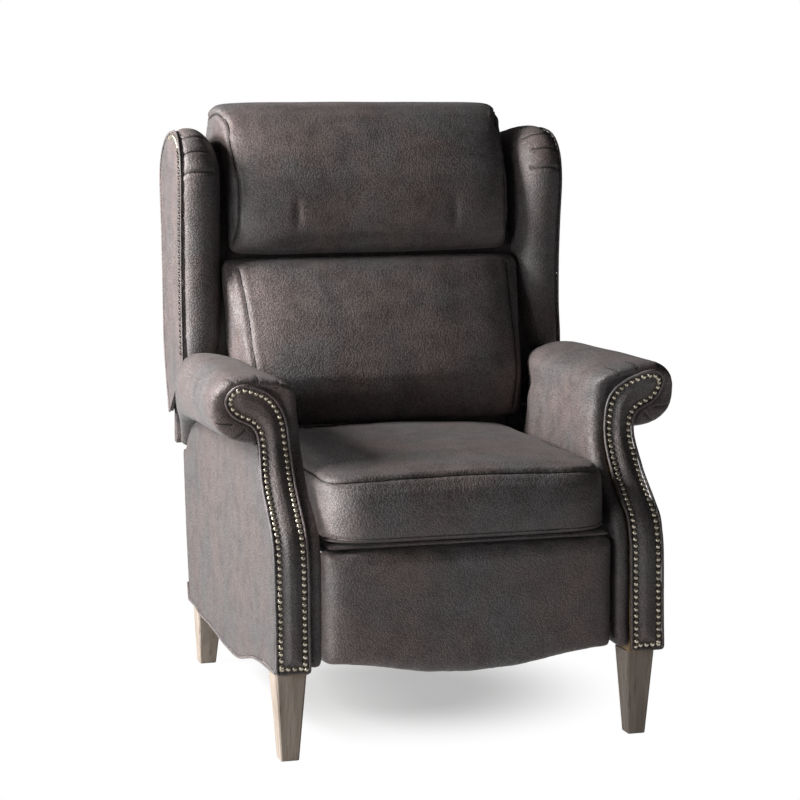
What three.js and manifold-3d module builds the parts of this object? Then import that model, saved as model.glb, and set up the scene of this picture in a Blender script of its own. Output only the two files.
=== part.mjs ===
// Wingback recliner on tall legs: a fixed base with scroll arms, a reclining back with wings,
// a gliding seat and a padded footrest on lazy-tong links.
// Millimetres. X runs across the chair, Y from front to back, Z up. The floor is z = 0, and the
// chair's own box is centred on x = 0 and y = 0. Pairs are built on the +X side and mirrored.

import * as THREE from 'three';
import Module from 'manifold-3d';
import { mergeVertices } from 'three/addons/utils/BufferGeometryUtils.js';

const wasm = await Module();
wasm.setup();

// overall sizes
const chairDepth = 948;
const frontY = -chairDepth / 2;
const rearY = chairDepth / 2;
const seatClear = 0.3;
const overrun = 60;
const snug = 1;

// legs
const legHeight = 155;
const legTop = 55;
const legFoot = 32;
const rearLegRake = 25;
const frontLegX = 317;
const rearLegX = 299;
const frontLegSetback = 55;
const rearLegSetback = 155;

// arms
const armInnerX = 266;
const armBaseWidth = 83;
const armRearTaper = 14;
const armPadWall = 25;
const armFrontWall = 12;
const armSideWall = 8;
const armRearWall = 6;
const armLift = 7;
const armBottomZ = legHeight + armLift;
const armPadBottomZ = 330;
const rollReach = 163;
const rollUnderZ = 535;
const rollHeight = 119;
const faceSetback = 148;
const railWall = 22;
const armRearInnerX = 298;
const armPadToe = 90;

// seat
const seatHalfWidth = 257;
const seatBottomZ = 376;
const seatSeamZ = 480;
const seatCrown = 26;
const seatSetback = 12;
const seatFrontY = frontY + seatSetback;
const seatRearY = 165;
const seatFrameSetback = 72;
const seatFrameInset = 38;
const linkBaySetback = 189;
const seatRailWall = 22;
const seatRailHeight = 36;
const webWall = 3;
const webWidth = 50;
const seatRailX = 208;
const nosingWall = 6;
const webSag = 1.4;

// back
const pivotY = 181;
const pivotZ = 325;
const pinRadius = 8;
const pinClear = 0.4;
const backPlaneY = 116;
const backPlaneZ = 505;
const backRake = 0.271;
const stileX = 262;
const stileWall = 26;
const stileDepth = 28;
const stileBottomZ = 440;
const headTopZ = 1103;
const headCap = 93;
const backTopZ = headTopZ - headCap;
const railHeight = 36;
const backSkin = 8;
const gussetX = 272;
const gussetWall = 16;

// wings
const wingFrontX = 377;
const wingFrontY = 140;
const wingSlant = 0.0806;
const wingSkin = 9;
const wingBoardWall = 12;
const wingInnerX = 300;
const wingDrop = 50;
const wingTuck = 32;
const wingTail = 37;
const wingTopZ = headTopZ - wingDrop;
const wingNose = 14;

// footrest mechanism, in the plane of Y and Z
const linkWall = 4;
const linkStep = 5;
const linkWidth = 18;
const linkPin = 5;
const plateX = 253;
const driveNear = 88;
const driveFar = 77;
const crossFar = 125;
const crossNear = 78;
const driveAngle = 276;
const crossAngle = 116;
const driveSweep = -90;
const crossSweep = 45;
const toeSetback = 79;
const toeY = frontY + toeSetback;
const toeZ = 345;
const tubeRadius = 11;

// footrest
const footHalfWidth = 263.5;
const footTopZ = 362;
const footCornerZ = 165;
const footDrop = 29;
const footPadWall = 45;
const footBoardWall = 12;
const footSetback = 10;
const footFrontY = frontY + footSetback;

// helpers
const weldShare = 1e-4;
const miterShare = 0.5;
const circleSteps = 20;

function toSolid(geometry) {
  const bare = new THREE.BufferGeometry();
  bare.setAttribute('position', geometry.getAttribute('position').clone());
  if (geometry.index) bare.setIndex(geometry.index.clone());
  const merged = mergeVertices(bare, weldShare);
  const mesh = new wasm.Mesh({
    numProp: 3,
    vertProperties: new Float32Array(merged.getAttribute('position').array),
    triVerts: new Uint32Array(merged.index.array),
  });
  return new wasm.Manifold(mesh);
}

function fromSolid(solid) {
  const mesh = solid.getMesh();
  const geometry = new THREE.BufferGeometry();
  const count = mesh.vertProperties.length / mesh.numProp;
  const position = new Float32Array(count * 3);
  for (let i = 0; i < count; i += 1) {
    for (let k = 0; k < 3; k += 1) position[i * 3 + k] = mesh.vertProperties[i * mesh.numProp + k];
  }
  geometry.setAttribute('position', new THREE.BufferAttribute(position, 3));
  geometry.setIndex(new THREE.BufferAttribute(new Uint32Array(mesh.triVerts), 1));
  return geometry;
}

// turns any 2-D outline (a list of [a, b]) into a closed prism between two places on the third axis
function prism(outline, low, high, place) {
  const turned = THREE.ShapeUtils.area(outline.map(([a, b]) => new THREE.Vector2(a, b))) < 0;
  const loop = turned ? outline.slice().reverse() : outline;
  const flat = loop.map(([a, b]) => new THREE.Vector2(a, b));
  const faces = THREE.ShapeUtils.triangulateShape(flat, []);
  const count = loop.length;
  const points = [];
  for (const level of [low, high]) {
    for (const [a, b] of loop) points.push(...place(a, b, level));
  }
  const index = [];
  for (const [a, b, c] of faces) {
    index.push(a, c, b);
    index.push(a + count, b + count, c + count);
  }
  for (let i = 0; i < count; i += 1) {
    const j = (i + 1) % count;
    index.push(i, j, j + count);
    index.push(i, j + count, i + count);
  }
  const geometry = new THREE.BufferGeometry();
  geometry.setAttribute('position', new THREE.Float32BufferAttribute(points, 3));
  geometry.setIndex(index);
  return outward(geometry);
}

// turns a mesh's faces round when they point in
function outward(geometry) {
  const p = geometry.getAttribute('position');
  const index = Array.from(geometry.index.array);
  const a = new THREE.Vector3();
  const b = new THREE.Vector3();
  const c = new THREE.Vector3();
  let volume = 0;
  for (let i = 0; i < index.length; i += 3) {
    a.fromBufferAttribute(p, index[i]);
    b.fromBufferAttribute(p, index[i + 1]);
    c.fromBufferAttribute(p, index[i + 2]);
    volume += a.dot(b.cross(c));
  }
  if (volume < 0) {
    for (let i = 0; i < index.length; i += 3) [index[i + 1], index[i + 2]] = [index[i + 2], index[i + 1]];
    geometry.setIndex(index);
  }
  return geometry;
}

const sidePrism = (outline, x0, x1) => prism(outline, x0, x1, (y, z, x) => [x, y, z]);
const frontPrism = (outline, y0, y1) => prism(outline, y0, y1, (x, z, y) => [x, y, z]);
const planPrism = (outline, z0, z1) => prism(outline, z0, z1, (x, y, z) => [x, y, z]);

function block(x0, x1, y0, y1, z0, z1) {
  const geometry = new THREE.BoxGeometry(x1 - x0, y1 - y0, z1 - z0);
  geometry.translate((x0 + x1) / 2, (y0 + y1) / 2, (z0 + z1) / 2);
  return geometry;
}

// a closed skin over rings that all have the same number of points
function loft(rings, flatten) {
  const count = rings[0].length;
  const points = rings.flat(2);
  const index = [];
  for (let r = 0; r + 1 < rings.length; r += 1) {
    for (let i = 0; i < count; i += 1) {
      const j = (i + 1) % count;
      const a = r * count + i;
      const b = r * count + j;
      index.push(a, b, b + count);
      index.push(a, b + count, a + count);
    }
  }
  const last = (rings.length - 1) * count;
  for (const [base, ring, end] of [[0, rings[0], 0], [last, rings[rings.length - 1], 1]]) {
    const flat = ring.map(flatten);
    const turned = THREE.ShapeUtils.area(flat) < 0;
    const order = flat.map((_, i) => (turned ? count - 1 - i : i));
    const faces = THREE.ShapeUtils.triangulateShape(order.map((i) => flat[i]), []);
    for (const face of faces) {
      const [a, b, c] = face.map((i) => base + order[i]);
      if ((end === 1) !== turned) index.push(a, b, c);
      else index.push(a, c, b);
    }
  }
  const geometry = new THREE.BufferGeometry();
  geometry.setAttribute('position', new THREE.Float32BufferAttribute(points, 3));
  geometry.setIndex(index);
  return outward(geometry);
}

function rod(radius, x0, x1, y, z) {
  const geometry = new THREE.CylinderGeometry(radius, radius, x1 - x0, circleSteps);
  geometry.rotateZ(Math.PI / 2);
  geometry.translate((x0 + x1) / 2, y, z);
  return geometry;
}

function mirrored(geometry) {
  const copy = geometry.index ? geometry.clone() : mergeVertices(geometry);
  copy.scale(-1, 1, 1);
  return outward(copy);
}

function smooth(points, steps) {
  const curve = new THREE.SplineCurve(points.map(([a, b]) => new THREE.Vector2(a, b)));
  return curve.getPoints(steps).map((p) => [p.x, p.y]);
}

const ramp = (value, low, high) => Math.min(1, Math.max(0, (value - low) / (high - low)));

// reads a table of [place, value, value, ...] rows at any place between its ends
function readAt(table, place) {
  if (place <= table[0][0]) return table[0].slice(1);
  for (let i = 0; i + 1 < table.length; i += 1) {
    const [from, to] = [table[i], table[i + 1]];
    if (place <= to[0]) {
      const t = (place - from[0]) / (to[0] - from[0]);
      return from.slice(1).map((value, k) => value + (to[k + 1] - value) * t);
    }
  }
  return table[table.length - 1].slice(1);
}

// moves each corner of a closed outline inwards (positive) or outwards (negative)
function inset(outline, distance) {
  const amount = typeof distance === 'function' ? distance : () => distance;
  const flat = outline.map(([a, b]) => new THREE.Vector2(a, b));
  const sign = THREE.ShapeUtils.area(flat) > 0 ? 1 : -1;
  const count = flat.length;
  return flat.map((p, i) => {
    const before = p.clone().sub(flat[(i + count - 1) % count]).normalize();
    const after = flat[(i + 1) % count].clone().sub(p).normalize();
    const normal = new THREE.Vector2(-(before.y + after.y), before.x + after.x).normalize();
    const half = Math.max(miterShare, Math.abs(normal.x * -before.y + normal.y * before.x));
    const shift = (sign * amount(outline[i])) / half;
    return [p.x + normal.x * shift, p.y + normal.y * shift];
  });
}

const subtract = (a, ...rest) => rest.reduce((solid, b) => solid.subtract(toSolid(b)), toSolid(a));
const join = (a, ...rest) => fromSolid(rest.reduce((solid, b) => solid.add(toSolid(b)), toSolid(a)));

// finishes
const finish = (color, roughness, metalness) => (
  new THREE.MeshStandardMaterial({ color, roughness, metalness })
);
const leather = finish(0x4a4141, 0.55, 0);
const leatherLit = finish(0x554b4b, 0.55, 0);
const legWood = finish(0x82776c, 0.6, 0);
const frameWood = finish(0xb69a72, 0.7, 0);
const steel = finish(0x6e7073, 0.4, 0.9);
const webbing = finish(0x3a3632, 0.9, 0);

const chair = new THREE.Group();

function add(name, geometry, material) {
  const mesh = new THREE.Mesh(geometry, material);
  mesh.name = name;
  chair.add(mesh);
}

function addPair(name, geometry, material) {
  add(`${name}_right`, geometry, material);
  add(`${name}_left`, mirrored(geometry), material);
}

// outlines shared by the arm's pieces

// how far the arm's front face sits behind the chair's front, by height
const faceShares = [
  [0.24, 0.00], [0.36, 0.03], [0.50, 0.055], [0.55, 0.09], [0.60, 0.17], [0.635, 0.33],
  [0.67, 0.50], [0.70, 0.65], [0.74, 0.79], [0.775, 0.885], [0.81, 0.95], [0.86, 0.98],
  [0.90, 1.00], [0.93, 0.97], [0.96, 0.88], [1.00, 0.78],
];
const armTopZ = rollUnderZ + rollHeight;
const armOuterX = armInnerX + armBaseWidth;
const faceSteps = 34;
const faceTable = smooth(
  faceShares.map(([high, deep]) => [high * armTopZ, frontY + deep * faceSetback]), faceSteps,
);
const faceY = (z) => readAt(faceTable, z)[0];

// everything behind the arm's front face, moved back by an offset
function behindFace(offset) {
  const curve = faceTable.map(([z, y]) => [y + offset, z]);
  const top = armTopZ + overrun;
  return [
    [curve[0][0], 0], ...curve, [curve[curve.length - 1][0], top],
    [rearY + overrun, top], [rearY + overrun, 0],
  ];
}

// the keyhole outline of the arm's front panel: a post that opens into a scroll
const scrollShares = [
  [0.490, 0.735], [0.472, 0.787], [0.475, 0.826], [0.503, 0.852], [0.577, 0.869], [0.687, 0.881],
  [0.773, 0.898], [0.822, 0.922], [0.822, 0.947], [0.773, 0.965], [0.699, 0.974], [0.613, 0.974],
  [0.485, 0.963], [0.362, 0.947], [0.258, 0.920], [0.190, 0.887], [0.160, 0.849], [0.143, 0.795],
  [0.143, 0.719],
];
const postTopShare = 0.61;
const postX = armInnerX + armPadWall;
function keyhole() {
  const scroll = scrollShares.map(([wide, high]) => [armInnerX + wide * rollReach, high * armTopZ]);
  const curve = smooth(
    [[armOuterX, postTopShare * armTopZ], ...scroll, [postX, postTopShare * armTopZ]], 46,
  );
  return [[armOuterX, armBottomZ], ...curve, [postX, armBottomZ]];
}

// the roll's section, from the inner foot over the top to the outer foot
const rollSectionShares = [
  [0.000, 0.000], [0.012, 0.200], [0.045, 0.370], [0.100, 0.530], [0.190, 0.710], [0.300, 0.850],
  [0.430, 0.945], [0.560, 0.990], [0.690, 1.000], [0.810, 0.960], [0.905, 0.870], [0.970, 0.730],
  [1.000, 0.560], [0.985, 0.390], [0.925, 0.230], [0.810, 0.095], [0.660, 0.025], [0.515, 0.000],
];

// the roll along the chair: place, inner side, outer side, underside and top, as shares
const rollStationShares = [
  [-0.362, 0.10, 0.90, 0.09, 0.91],
  [-0.355, 0.035, 0.965, 0.03, 0.97],
  [-0.345, 0.01, 0.99, 0.01, 0.995],
  [-0.330, 0.00, 1.00, 0.00, 1.00],
  [-0.160, 0.01, 0.97, -0.05, 0.995],
  [0.010, 0.03, 0.91, -0.10, 0.98],
  [0.063, 0.09, 0.875, -0.13, 0.965],
  [0.093, 0.15, 0.85, -0.145, 0.94],
  [0.117, 0.21, 0.825, -0.15, 0.80],
  [0.143, 0.21, 0.79, -0.17, 0.55],
  [0.186, 0.21, 0.74, -0.20, 0.335],
  [0.238, 0.21, 0.675, -0.29, 0.085],
  [0.291, 0.21, 0.585, -0.50, -0.19],
  [0.333, 0.21, 0.52, -0.78, -0.46],
  [0.365, 0.21, 0.49, -0.90, -0.75],
];

// the top edge of the arm's outer side panel, under the roll and down the rear corner
const sideTopShares = [
  [-0.345, 0.00], [-0.025, -0.105], [0.093, -0.16], [0.167, -0.185], [0.232, -0.277],
  [0.275, -0.42], [0.304, -0.597], [0.324, -0.72], [0.350, -0.90], [0.374, -0.93],
];
// the shaped bottom edge of the side panel, front to back
const sideBottomShares = [
  [-0.500, 1.00], [-0.406, 0.975], [-0.337, 0.950], [-0.277, 0.895], [-0.204, 0.790],
  [-0.154, 0.740], [-0.085, 0.733], [-0.012, 0.740], [0.055, 0.770], [0.131, 0.777],
  [0.208, 0.777], [0.244, 0.815], [0.320, 0.815],
];
// the rear edge of the arms, by height
const armRearShares = [[0.20, 0.321], [0.31, 0.338], [0.48, 0.361], [0.65, 0.377], [1.0, 0.395]];
const armRearTable = armRearShares.map(([high, deep]) => [high * armTopZ, deep * chairDepth]);
const armRearY = (z) => readAt(armRearTable, z)[0];
const armSlant = armRearTaper / (armRearY(rollUnderZ) - frontY);
const slantX = (geometry) => {
  const p = geometry.getAttribute('position');
  for (let i = 0; i < p.count; i += 1) p.setX(i, p.getX(i) - armSlant * (p.getY(i) - frontY));
  return geometry;
};

// legs
const legEdgeShare = 0.88;
function leg(x, footY, rake) {
  const rings = [[0, legFoot, 0], [legHeight, legTop, rake]].map(([z, width, lean]) => {
    const y = footY - lean;
    const h = width / 2;
    const c = h * legEdgeShare;
    return [
      [x + h, y + c, z], [x + c, y + h, z], [x - c, y + h, z], [x - h, y + c, z],
      [x - h, y - c, z], [x - c, y - h, z], [x + c, y - h, z], [x + h, y - c, z],
    ];
  });
  return loft(rings, ([a, b]) => new THREE.Vector2(a, b));
}
const frontLegY = frontY + frontLegSetback;
const rearLegY = rearY - rearLegSetback;
addPair('leg_front', leg(frontLegX, frontLegY, 0), legWood);
addPair('leg_rear', leg(rearLegX, rearLegY, rearLegRake), legWood);

// arms
function rollBody() {
  const tall = rollHeight;
  const rings = rollStationShares.map(([deep, inner, outer, under, top]) => {
    const x0 = armInnerX + inner * rollReach;
    const x1 = armInnerX + outer * rollReach;
    const z0 = rollUnderZ + under * tall;
    const z1 = rollUnderZ + top * tall;
    return rollSectionShares.map(([a, b]) => [
      x0 + a * (x1 - x0), deep * chairDepth, z0 + b * (z1 - z0),
    ]);
  });
  return loft(rings, ([x, , z]) => new THREE.Vector2(x, z));
}

// the upright inside face of the arm, which ends in a curve beside the back cushion
const innerRearShares = [[0.506, 0.072], [0.70, 0.066], [0.758, 0.058], [0.82, 0.048], [0.86, 0.040]];
const armPadToeY = frontY + armPadToe;
function innerFace() {
  const rear = innerRearShares.map(([high, deep]) => [deep * chairDepth, high * armTopZ]);
  const outline = [
    [frontY - overrun, armBottomZ], [armPadToeY, armBottomZ], [armPadToeY, armPadBottomZ],
    [rear[0][0], armPadBottomZ], ...rear,
    [frontY - overrun, innerRearShares[innerRearShares.length - 1][0] * armTopZ],
  ];
  return sidePrism(outline, armInnerX, armInnerX + armPadWall - seatClear);
}

const pocketWall = armFrontWall + seatClear;
const inFrontOf = (offset) => {
  const curve = faceTable.map(([z, y]) => [y + offset, z]);
  const top = armTopZ + overrun;
  return [
    [frontY - overrun, 0], [curve[0][0], 0], ...curve, [curve[curve.length - 1][0], top],
    [frontY - overrun, top],
  ];
};
const padLip = 2;
const farX = armInnerX + rollReach + overrun;
const nearX = armInnerX - overrun;
const pocket = toSolid(frontPrism(keyhole(), frontY - overrun, rearY))
  .intersect(toSolid(sidePrism(inFrontOf(pocketWall), nearX, farX)));
const sideTop = sideTopShares.map(([deep, drop]) => [deep * chairDepth, rollUnderZ + drop * rollHeight]);
// the frame's space under the roll, which the pad stays out of
const frameSpace = sidePrism(
  [[frontY - overrun, 0], [rearY, 0], ...sideTop.slice().reverse().map(([y, z]) => [y, z + seatClear]),
    [frontY - overrun, rollUnderZ]],
  armInnerX + armPadWall - seatClear, farX,
);
const armPad = toSolid(rollBody())
  .add(toSolid(innerFace()))
  .intersect(toSolid(sidePrism(behindFace(padLip), nearX, farX)))
  .subtract(pocket)
  .subtract(toSolid(frameSpace));
addPair('arm_pad', fromSolid(armPad), leatherLit);

const armFront = toSolid(frontPrism(inset(keyhole(), seatClear), frontY - overrun, rearY))
  .intersect(toSolid(sidePrism(inFrontOf(armFrontWall), nearX, farX)))
  .intersect(toSolid(sidePrism(behindFace(0), nearX, farX)));
addPair('arm_front_panel', fromSolid(armFront), leather);

const sideBottom = sideBottomShares.map(([deep, high]) => [deep * chairDepth, high * armBottomZ]);
const armSideOutline = [
  ...smooth(sideBottom, 24),
  [armRearY(armBottomZ), armBottomZ],
  [armRearY(sideTop[sideTop.length - 1][1]), sideTop[sideTop.length - 1][1]],
  ...sideTop.slice(0, -1).reverse(),
  [frontY - overrun, rollUnderZ],
];
const armSide = toSolid(sidePrism(armSideOutline, armOuterX - armSideWall, armOuterX))
  .intersect(toSolid(sidePrism(behindFace(pocketWall), nearX, farX)));
// the side's leather turns the rear corner and closes the back of the arm
const rearPostTopZ = 420;
const rearWrapLow = legHeight + seatClear;
function rearWrap() {
  const levels = [rearWrapLow, armRearTable[1][0], armRearTable[2][0], rearPostTopZ];
  const rear = levels.map((z) => [armRearY(z), z]);
  const front = rear.map(([y, z]) => [y - armRearWall, z]).reverse();
  return sidePrism([...rear, ...front], armRearInnerX, armOuterX - armRearTaper - armSideWall / 2);
}
addPair('arm_side_panel', join(slantX(fromSolid(armSide)), rearWrap()), leatherLit);

// arm frame: a front post that follows the face, a side rail and a rear post
const postInnerX = postX + snug;
const postOuterX = armOuterX - armSideWall - armRearTaper / 2;
const postDepth = 44;
const frameTop = rollUnderZ - snug;
const postBottomZ = legHeight + seatClear;
function frontPost() {
  const top = frameTop - snug;
  const heights = [postBottomZ, ...faceTable.map(([z]) => z).filter((z) => z > postBottomZ && z < top), top];
  const front = heights.map((z) => [faceY(z) + pocketWall + snug, z]);
  const back = front.map(([y, z]) => [y + postDepth, z]).reverse();
  return sidePrism([...front, ...back], postInnerX, postOuterX);
}
addPair('arm_front_post', frontPost(), frameWood);

const rearPostDepth = 40;
const rearPostOuterX = armOuterX - armRearTaper - armSideWall - snug;
const rearFaceGap = armRearWall + 2 * seatClear;
function rearPost() {
  const rear = [postBottomZ, armRearTable[1][0], armRearTable[2][0], rearPostTopZ]
    .map((z) => [armRearY(z) - rearFaceGap, z]);
  const front = rear.map(([y, z]) => [y - rearPostDepth, z]).reverse();
  return sidePrism([...rear, ...front], armRearInnerX, rearPostOuterX);
}
addPair('arm_rear_post', rearPost(), frameWood);

const baseRailX = 300;
const baseRailHeight = 59;
const baseRailBottom = legHeight + snug;
const baseRailTop = baseRailBottom + baseRailHeight;
const baseRailFront = faceY(baseRailTop) + pocketWall + snug + postDepth + seatClear;
const baseRailRear = armRearY(baseRailBottom) - rearFaceGap - rearPostDepth - seatClear;
addPair('base_side_rail', block(
  baseRailX, baseRailX + railWall, baseRailFront, baseRailRear, baseRailBottom, baseRailTop,
), frameWood);

// cross rails of the base, and the low rear rail that the back's foot swings over
const crossRailLift = 10;
const crossRailHeight = 45;
const crossRailZ = legHeight + crossRailLift;
const crossRailTop = crossRailZ + crossRailHeight;
const crossRailHalf = baseRailX - seatClear;
const frontCrossSetback = 204;
const frontCrossY = frontY + frontCrossSetback;
const midCrossY = 60;
const crossRailDepth = 25;
add('base_front_rail', block(
  -crossRailHalf, crossRailHalf, frontCrossY, frontCrossY + crossRailDepth, crossRailZ, crossRailTop,
), frameWood);
add('base_middle_rail', block(
  -crossRailHalf, crossRailHalf, midCrossY, midCrossY + crossRailDepth, crossRailZ, crossRailTop,
), frameWood);
// the low rear rail reaches the legs, and widens above them to the rear posts
const rearRailDrop = 39;
const rearRailRise = 31;
const rearRailLow = legHeight - rearRailDrop;
const rearRailTop = legHeight + rearRailRise;
const rearRailWall = 10;
const rearRailY = armRearY(rearRailTop) - rearRailWall;
const rearRailFoot = rearLegX - legTop / 2 - seatClear;
const rearRailHead = armRearInnerX - seatClear;
const rearRailStep = legHeight + seatClear;
add('base_rear_rail', frontPrism([
  [-rearRailFoot, rearRailLow], [rearRailFoot, rearRailLow], [rearRailFoot, rearRailStep],
  [rearRailHead, rearRailStep], [rearRailHead, rearRailTop], [-rearRailHead, rearRailTop],
  [-rearRailHead, rearRailStep], [-rearRailFoot, rearRailStep],
], rearRailY, rearRailY + rearRailWall), leather);

// back: two stiles and three rails, a side gusset at each hinge, and the outside panel
const backFront = (z) => backPlaneY + backRake * (z - backPlaneZ);
const stileTopZ = backTopZ;
function stile() {
  return sidePrism([
    [backFront(stileBottomZ), stileBottomZ], [backFront(stileTopZ), stileTopZ],
    [backFront(stileTopZ) + stileDepth, stileTopZ], [backFront(stileBottomZ) + stileDepth, stileBottomZ],
  ], stileX, stileX + stileWall);
}
addPair('back_stile', stile(), frameWood);

const wingOuterX = (y) => wingFrontX - wingSlant * (y - wingFrontY);
const boardOuterX = (y) => wingOuterX(y) - wingSkin - seatClear;
const boardInnerX = (y) => boardOuterX(y) - wingBoardWall;
// a rail between the wing boards, cut to their slant at both ends
function boardRail(y0, y1, z0, z1) {
  const x0 = boardInnerX(y0) - seatClear;
  const x1 = boardInnerX(y1) - seatClear;
  return planPrism([[-x0, y0], [x0, y0], [x1, y1], [-x1, y1]], z0, z1);
}
const midRailZ = 655;
const midRailY = backFront(midRailZ + railHeight) + stileDepth + seatClear;
add('back_middle_rail', boardRail(midRailY, midRailY + railWall, midRailZ, midRailZ + railHeight), frameWood);
const lowRailZ = 515;
const lowRailY = backFront(lowRailZ + railHeight);
add('back_lower_rail', block(
  -stileX + seatClear, stileX - seatClear, lowRailY, lowRailY + railWall, lowRailZ, lowRailZ + railHeight,
), frameWood);

// the wing's side outline: up the front edge, over the top and down the rear edge
const wingFrontShares = [
  [0.001, 0.151], [0.084, 0.152], [0.182, 0.158], [0.272, 0.16], [0.428, 0.16], [0.621, 0.154],
  [0.739, 0.148], [0.819, 0.149], [0.895, 0.158], [0.958, 0.181], [0.990, 0.214], [1.000, 0.253],
];
const wingRearShares = [
  [0.000, 0.382], [0.080, 0.41], [0.169, 0.441], [0.256, 0.459], [0.473, 0.467], [0.615, 0.477],
  [0.757, 0.4916], [0.824, 0.4958], [0.877, 0.481], [0.935, 0.437], [0.972, 0.38], [0.992, 0.316],
];
const wingEdge = (shares, lowZ) => smooth(
  shares.map(([high, deep]) => [deep * chairDepth, lowZ + high * (wingTopZ - lowZ)]), 22,
);
const wingFront = wingEdge(wingFrontShares, armTopZ - wingTuck);
const wingRear = wingEdge(wingRearShares, rollUnderZ - wingTail);
const wingRearTable = wingRear.map(([y, z]) => [z, y]);
const wingOutline = [...wingFront, ...wingRear.slice().reverse()];
const slantWing = (geometry) => {
  const p = geometry.getAttribute('position');
  for (let i = 0; i < p.count; i += 1) p.setX(i, p.getX(i) - wingSlant * (p.getY(i) - wingFrontY));
  return geometry;
};

// the outside back: a narrow foot between the arms that widens into the full back above them
const backCrown = 4;
const footRearShares = [[0.438, 0.353], [0.632, 0.371], [0.854, 0.386], [0.930, 0.3895]];
const footRearZ = (share) => share * (rollUnderZ - wingTail);
const backRearTable = [
  ...footRearShares.map(([high, deep]) => [footRearZ(high), deep * chairDepth]),
  ...wingRearTable.map(([z, y]) => [z, y + backCrown]),
];
const backRearY = (z) => readAt(backRearTable, z)[0];
const backFootZ = footRearZ(footRearShares[0][0]);
const backShoulderZ = 436;
const backFootHalf = armRearInnerX - 2 * snug;
const backEdgeRise = 5;
const backEdgeTopZ = backTopZ + backEdgeRise;
function outsideBack() {
  const levels = backRearTable.map(([z]) => z).filter((z) => z < backEdgeTopZ);
  levels.push(backEdgeTopZ);
  const rear = levels.map((z) => [backRearY(z), z]);
  const front = rear.map(([y, z]) => [y - backSkin, z]).reverse();
  const skin = toSolid(sidePrism([...rear, ...front], -farX, farX));
  const tee = toSolid(frontPrism([
    [-backFootHalf, 0], [backFootHalf, 0], [backFootHalf, backShoulderZ], [farX, backShoulderZ],
    [farX, wingTopZ], [-farX, wingTopZ], [-farX, backShoulderZ], [-backFootHalf, backShoulderZ],
  ], 0, rearY + overrun));
  const half = (y) => boardOuterX(y) - seatClear;
  const sides = toSolid(planPrism([
    [-half(0), 0], [half(0), 0], [half(rearY + overrun), rearY + overrun],
    [-half(rearY + overrun), rearY + overrun],
  ], 0, wingTopZ + overrun));
  return fromSolid(skin.intersect(tee).intersect(sides));
}
add('outside_back_panel', outsideBack(), leatherLit);
const outsideFrontY = (z) => backRearY(z) - backSkin - seatClear;

// the deep top rail runs from the stiles to the outside back, and the head cushion hooks over it
const topRailY = backFront(backTopZ) + stileDepth + seatClear;
const topRailRear = outsideFrontY(backTopZ) - seatClear;
add('back_top_rail', boardRail(topRailY, topRailRear, backTopZ - railHeight, backTopZ), frameWood);

// the gusset carries the back on its hinge pin and holds the foot of the outside back
const gussetTopZ = 640;
const gussetLift = 5;
const gussetLowZ = backFootZ + gussetLift;
const gussetToeShares = [[0.11, 0.70], [0.42, 0.55], [0.50, 0.20], [0.62, 0.02]];
function gusset() {
  const lowFrontY = backFront(stileBottomZ);
  const stileRear = (z) => backFront(z) + stileDepth + seatClear;
  const span = outsideFrontY(gussetLowZ) - lowFrontY;
  const rise = stileBottomZ - gussetLowZ;
  const toe = gussetToeShares.map(([a, b]) => [lowFrontY + a * span, gussetLowZ + b * rise]);
  const levels = backRearTable.map(([z]) => z).filter((z) => z > gussetLowZ && z < gussetTopZ);
  const rear = [gussetLowZ, ...levels, gussetTopZ].map((z) => [outsideFrontY(z), z]);
  const outline = [
    [lowFrontY, stileBottomZ - seatClear], ...toe, ...rear,
    [stileRear(gussetTopZ), gussetTopZ], [stileRear(stileBottomZ), stileBottomZ - seatClear],
  ];
  const bore = rod(pinRadius + pinClear, gussetX - overrun, gussetX + overrun, pivotY, pivotZ);
  return fromSolid(subtract(sidePrism(outline, gussetX, gussetX + gussetWall), bore));
}
addPair('back_gusset', gusset(), frameWood);

const bracketWall = 7;
const bracketHalf = 31;
const bracketTop = 22;
const pinHeadWall = 6;
const pinHeadRadius = 13;
const bracketOuter = baseRailX - seatClear;
const bracketInner = bracketOuter - bracketWall;
function hingeBracket() {
  const arc = [];
  for (let i = 0; i <= circleSteps / 2; i += 1) {
    const angle = (Math.PI * i) / (circleSteps / 2);
    arc.push([pivotY + bracketTop * Math.cos(angle), pivotZ + bracketTop * Math.sin(angle)]);
  }
  const plate = sidePrism([
    [pivotY - bracketHalf, baseRailBottom + snug], [pivotY + bracketHalf, baseRailBottom + snug],
    [pivotY + bracketHalf, baseRailTop], ...arc, [pivotY - bracketHalf, baseRailTop],
  ], bracketInner, bracketOuter);
  const pin = rod(pinRadius, gussetX - 2 * seatClear, bracketInner + seatClear, pivotY, pivotZ);
  const headX = gussetX - 2 * seatClear;
  const head = rod(pinHeadRadius, headX - pinHeadWall, headX + seatClear / 2, pivotY, pivotZ);
  return join(plate, pin, head);
}
addPair('back_hinge_bracket', hingeBracket(), steel);

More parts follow.
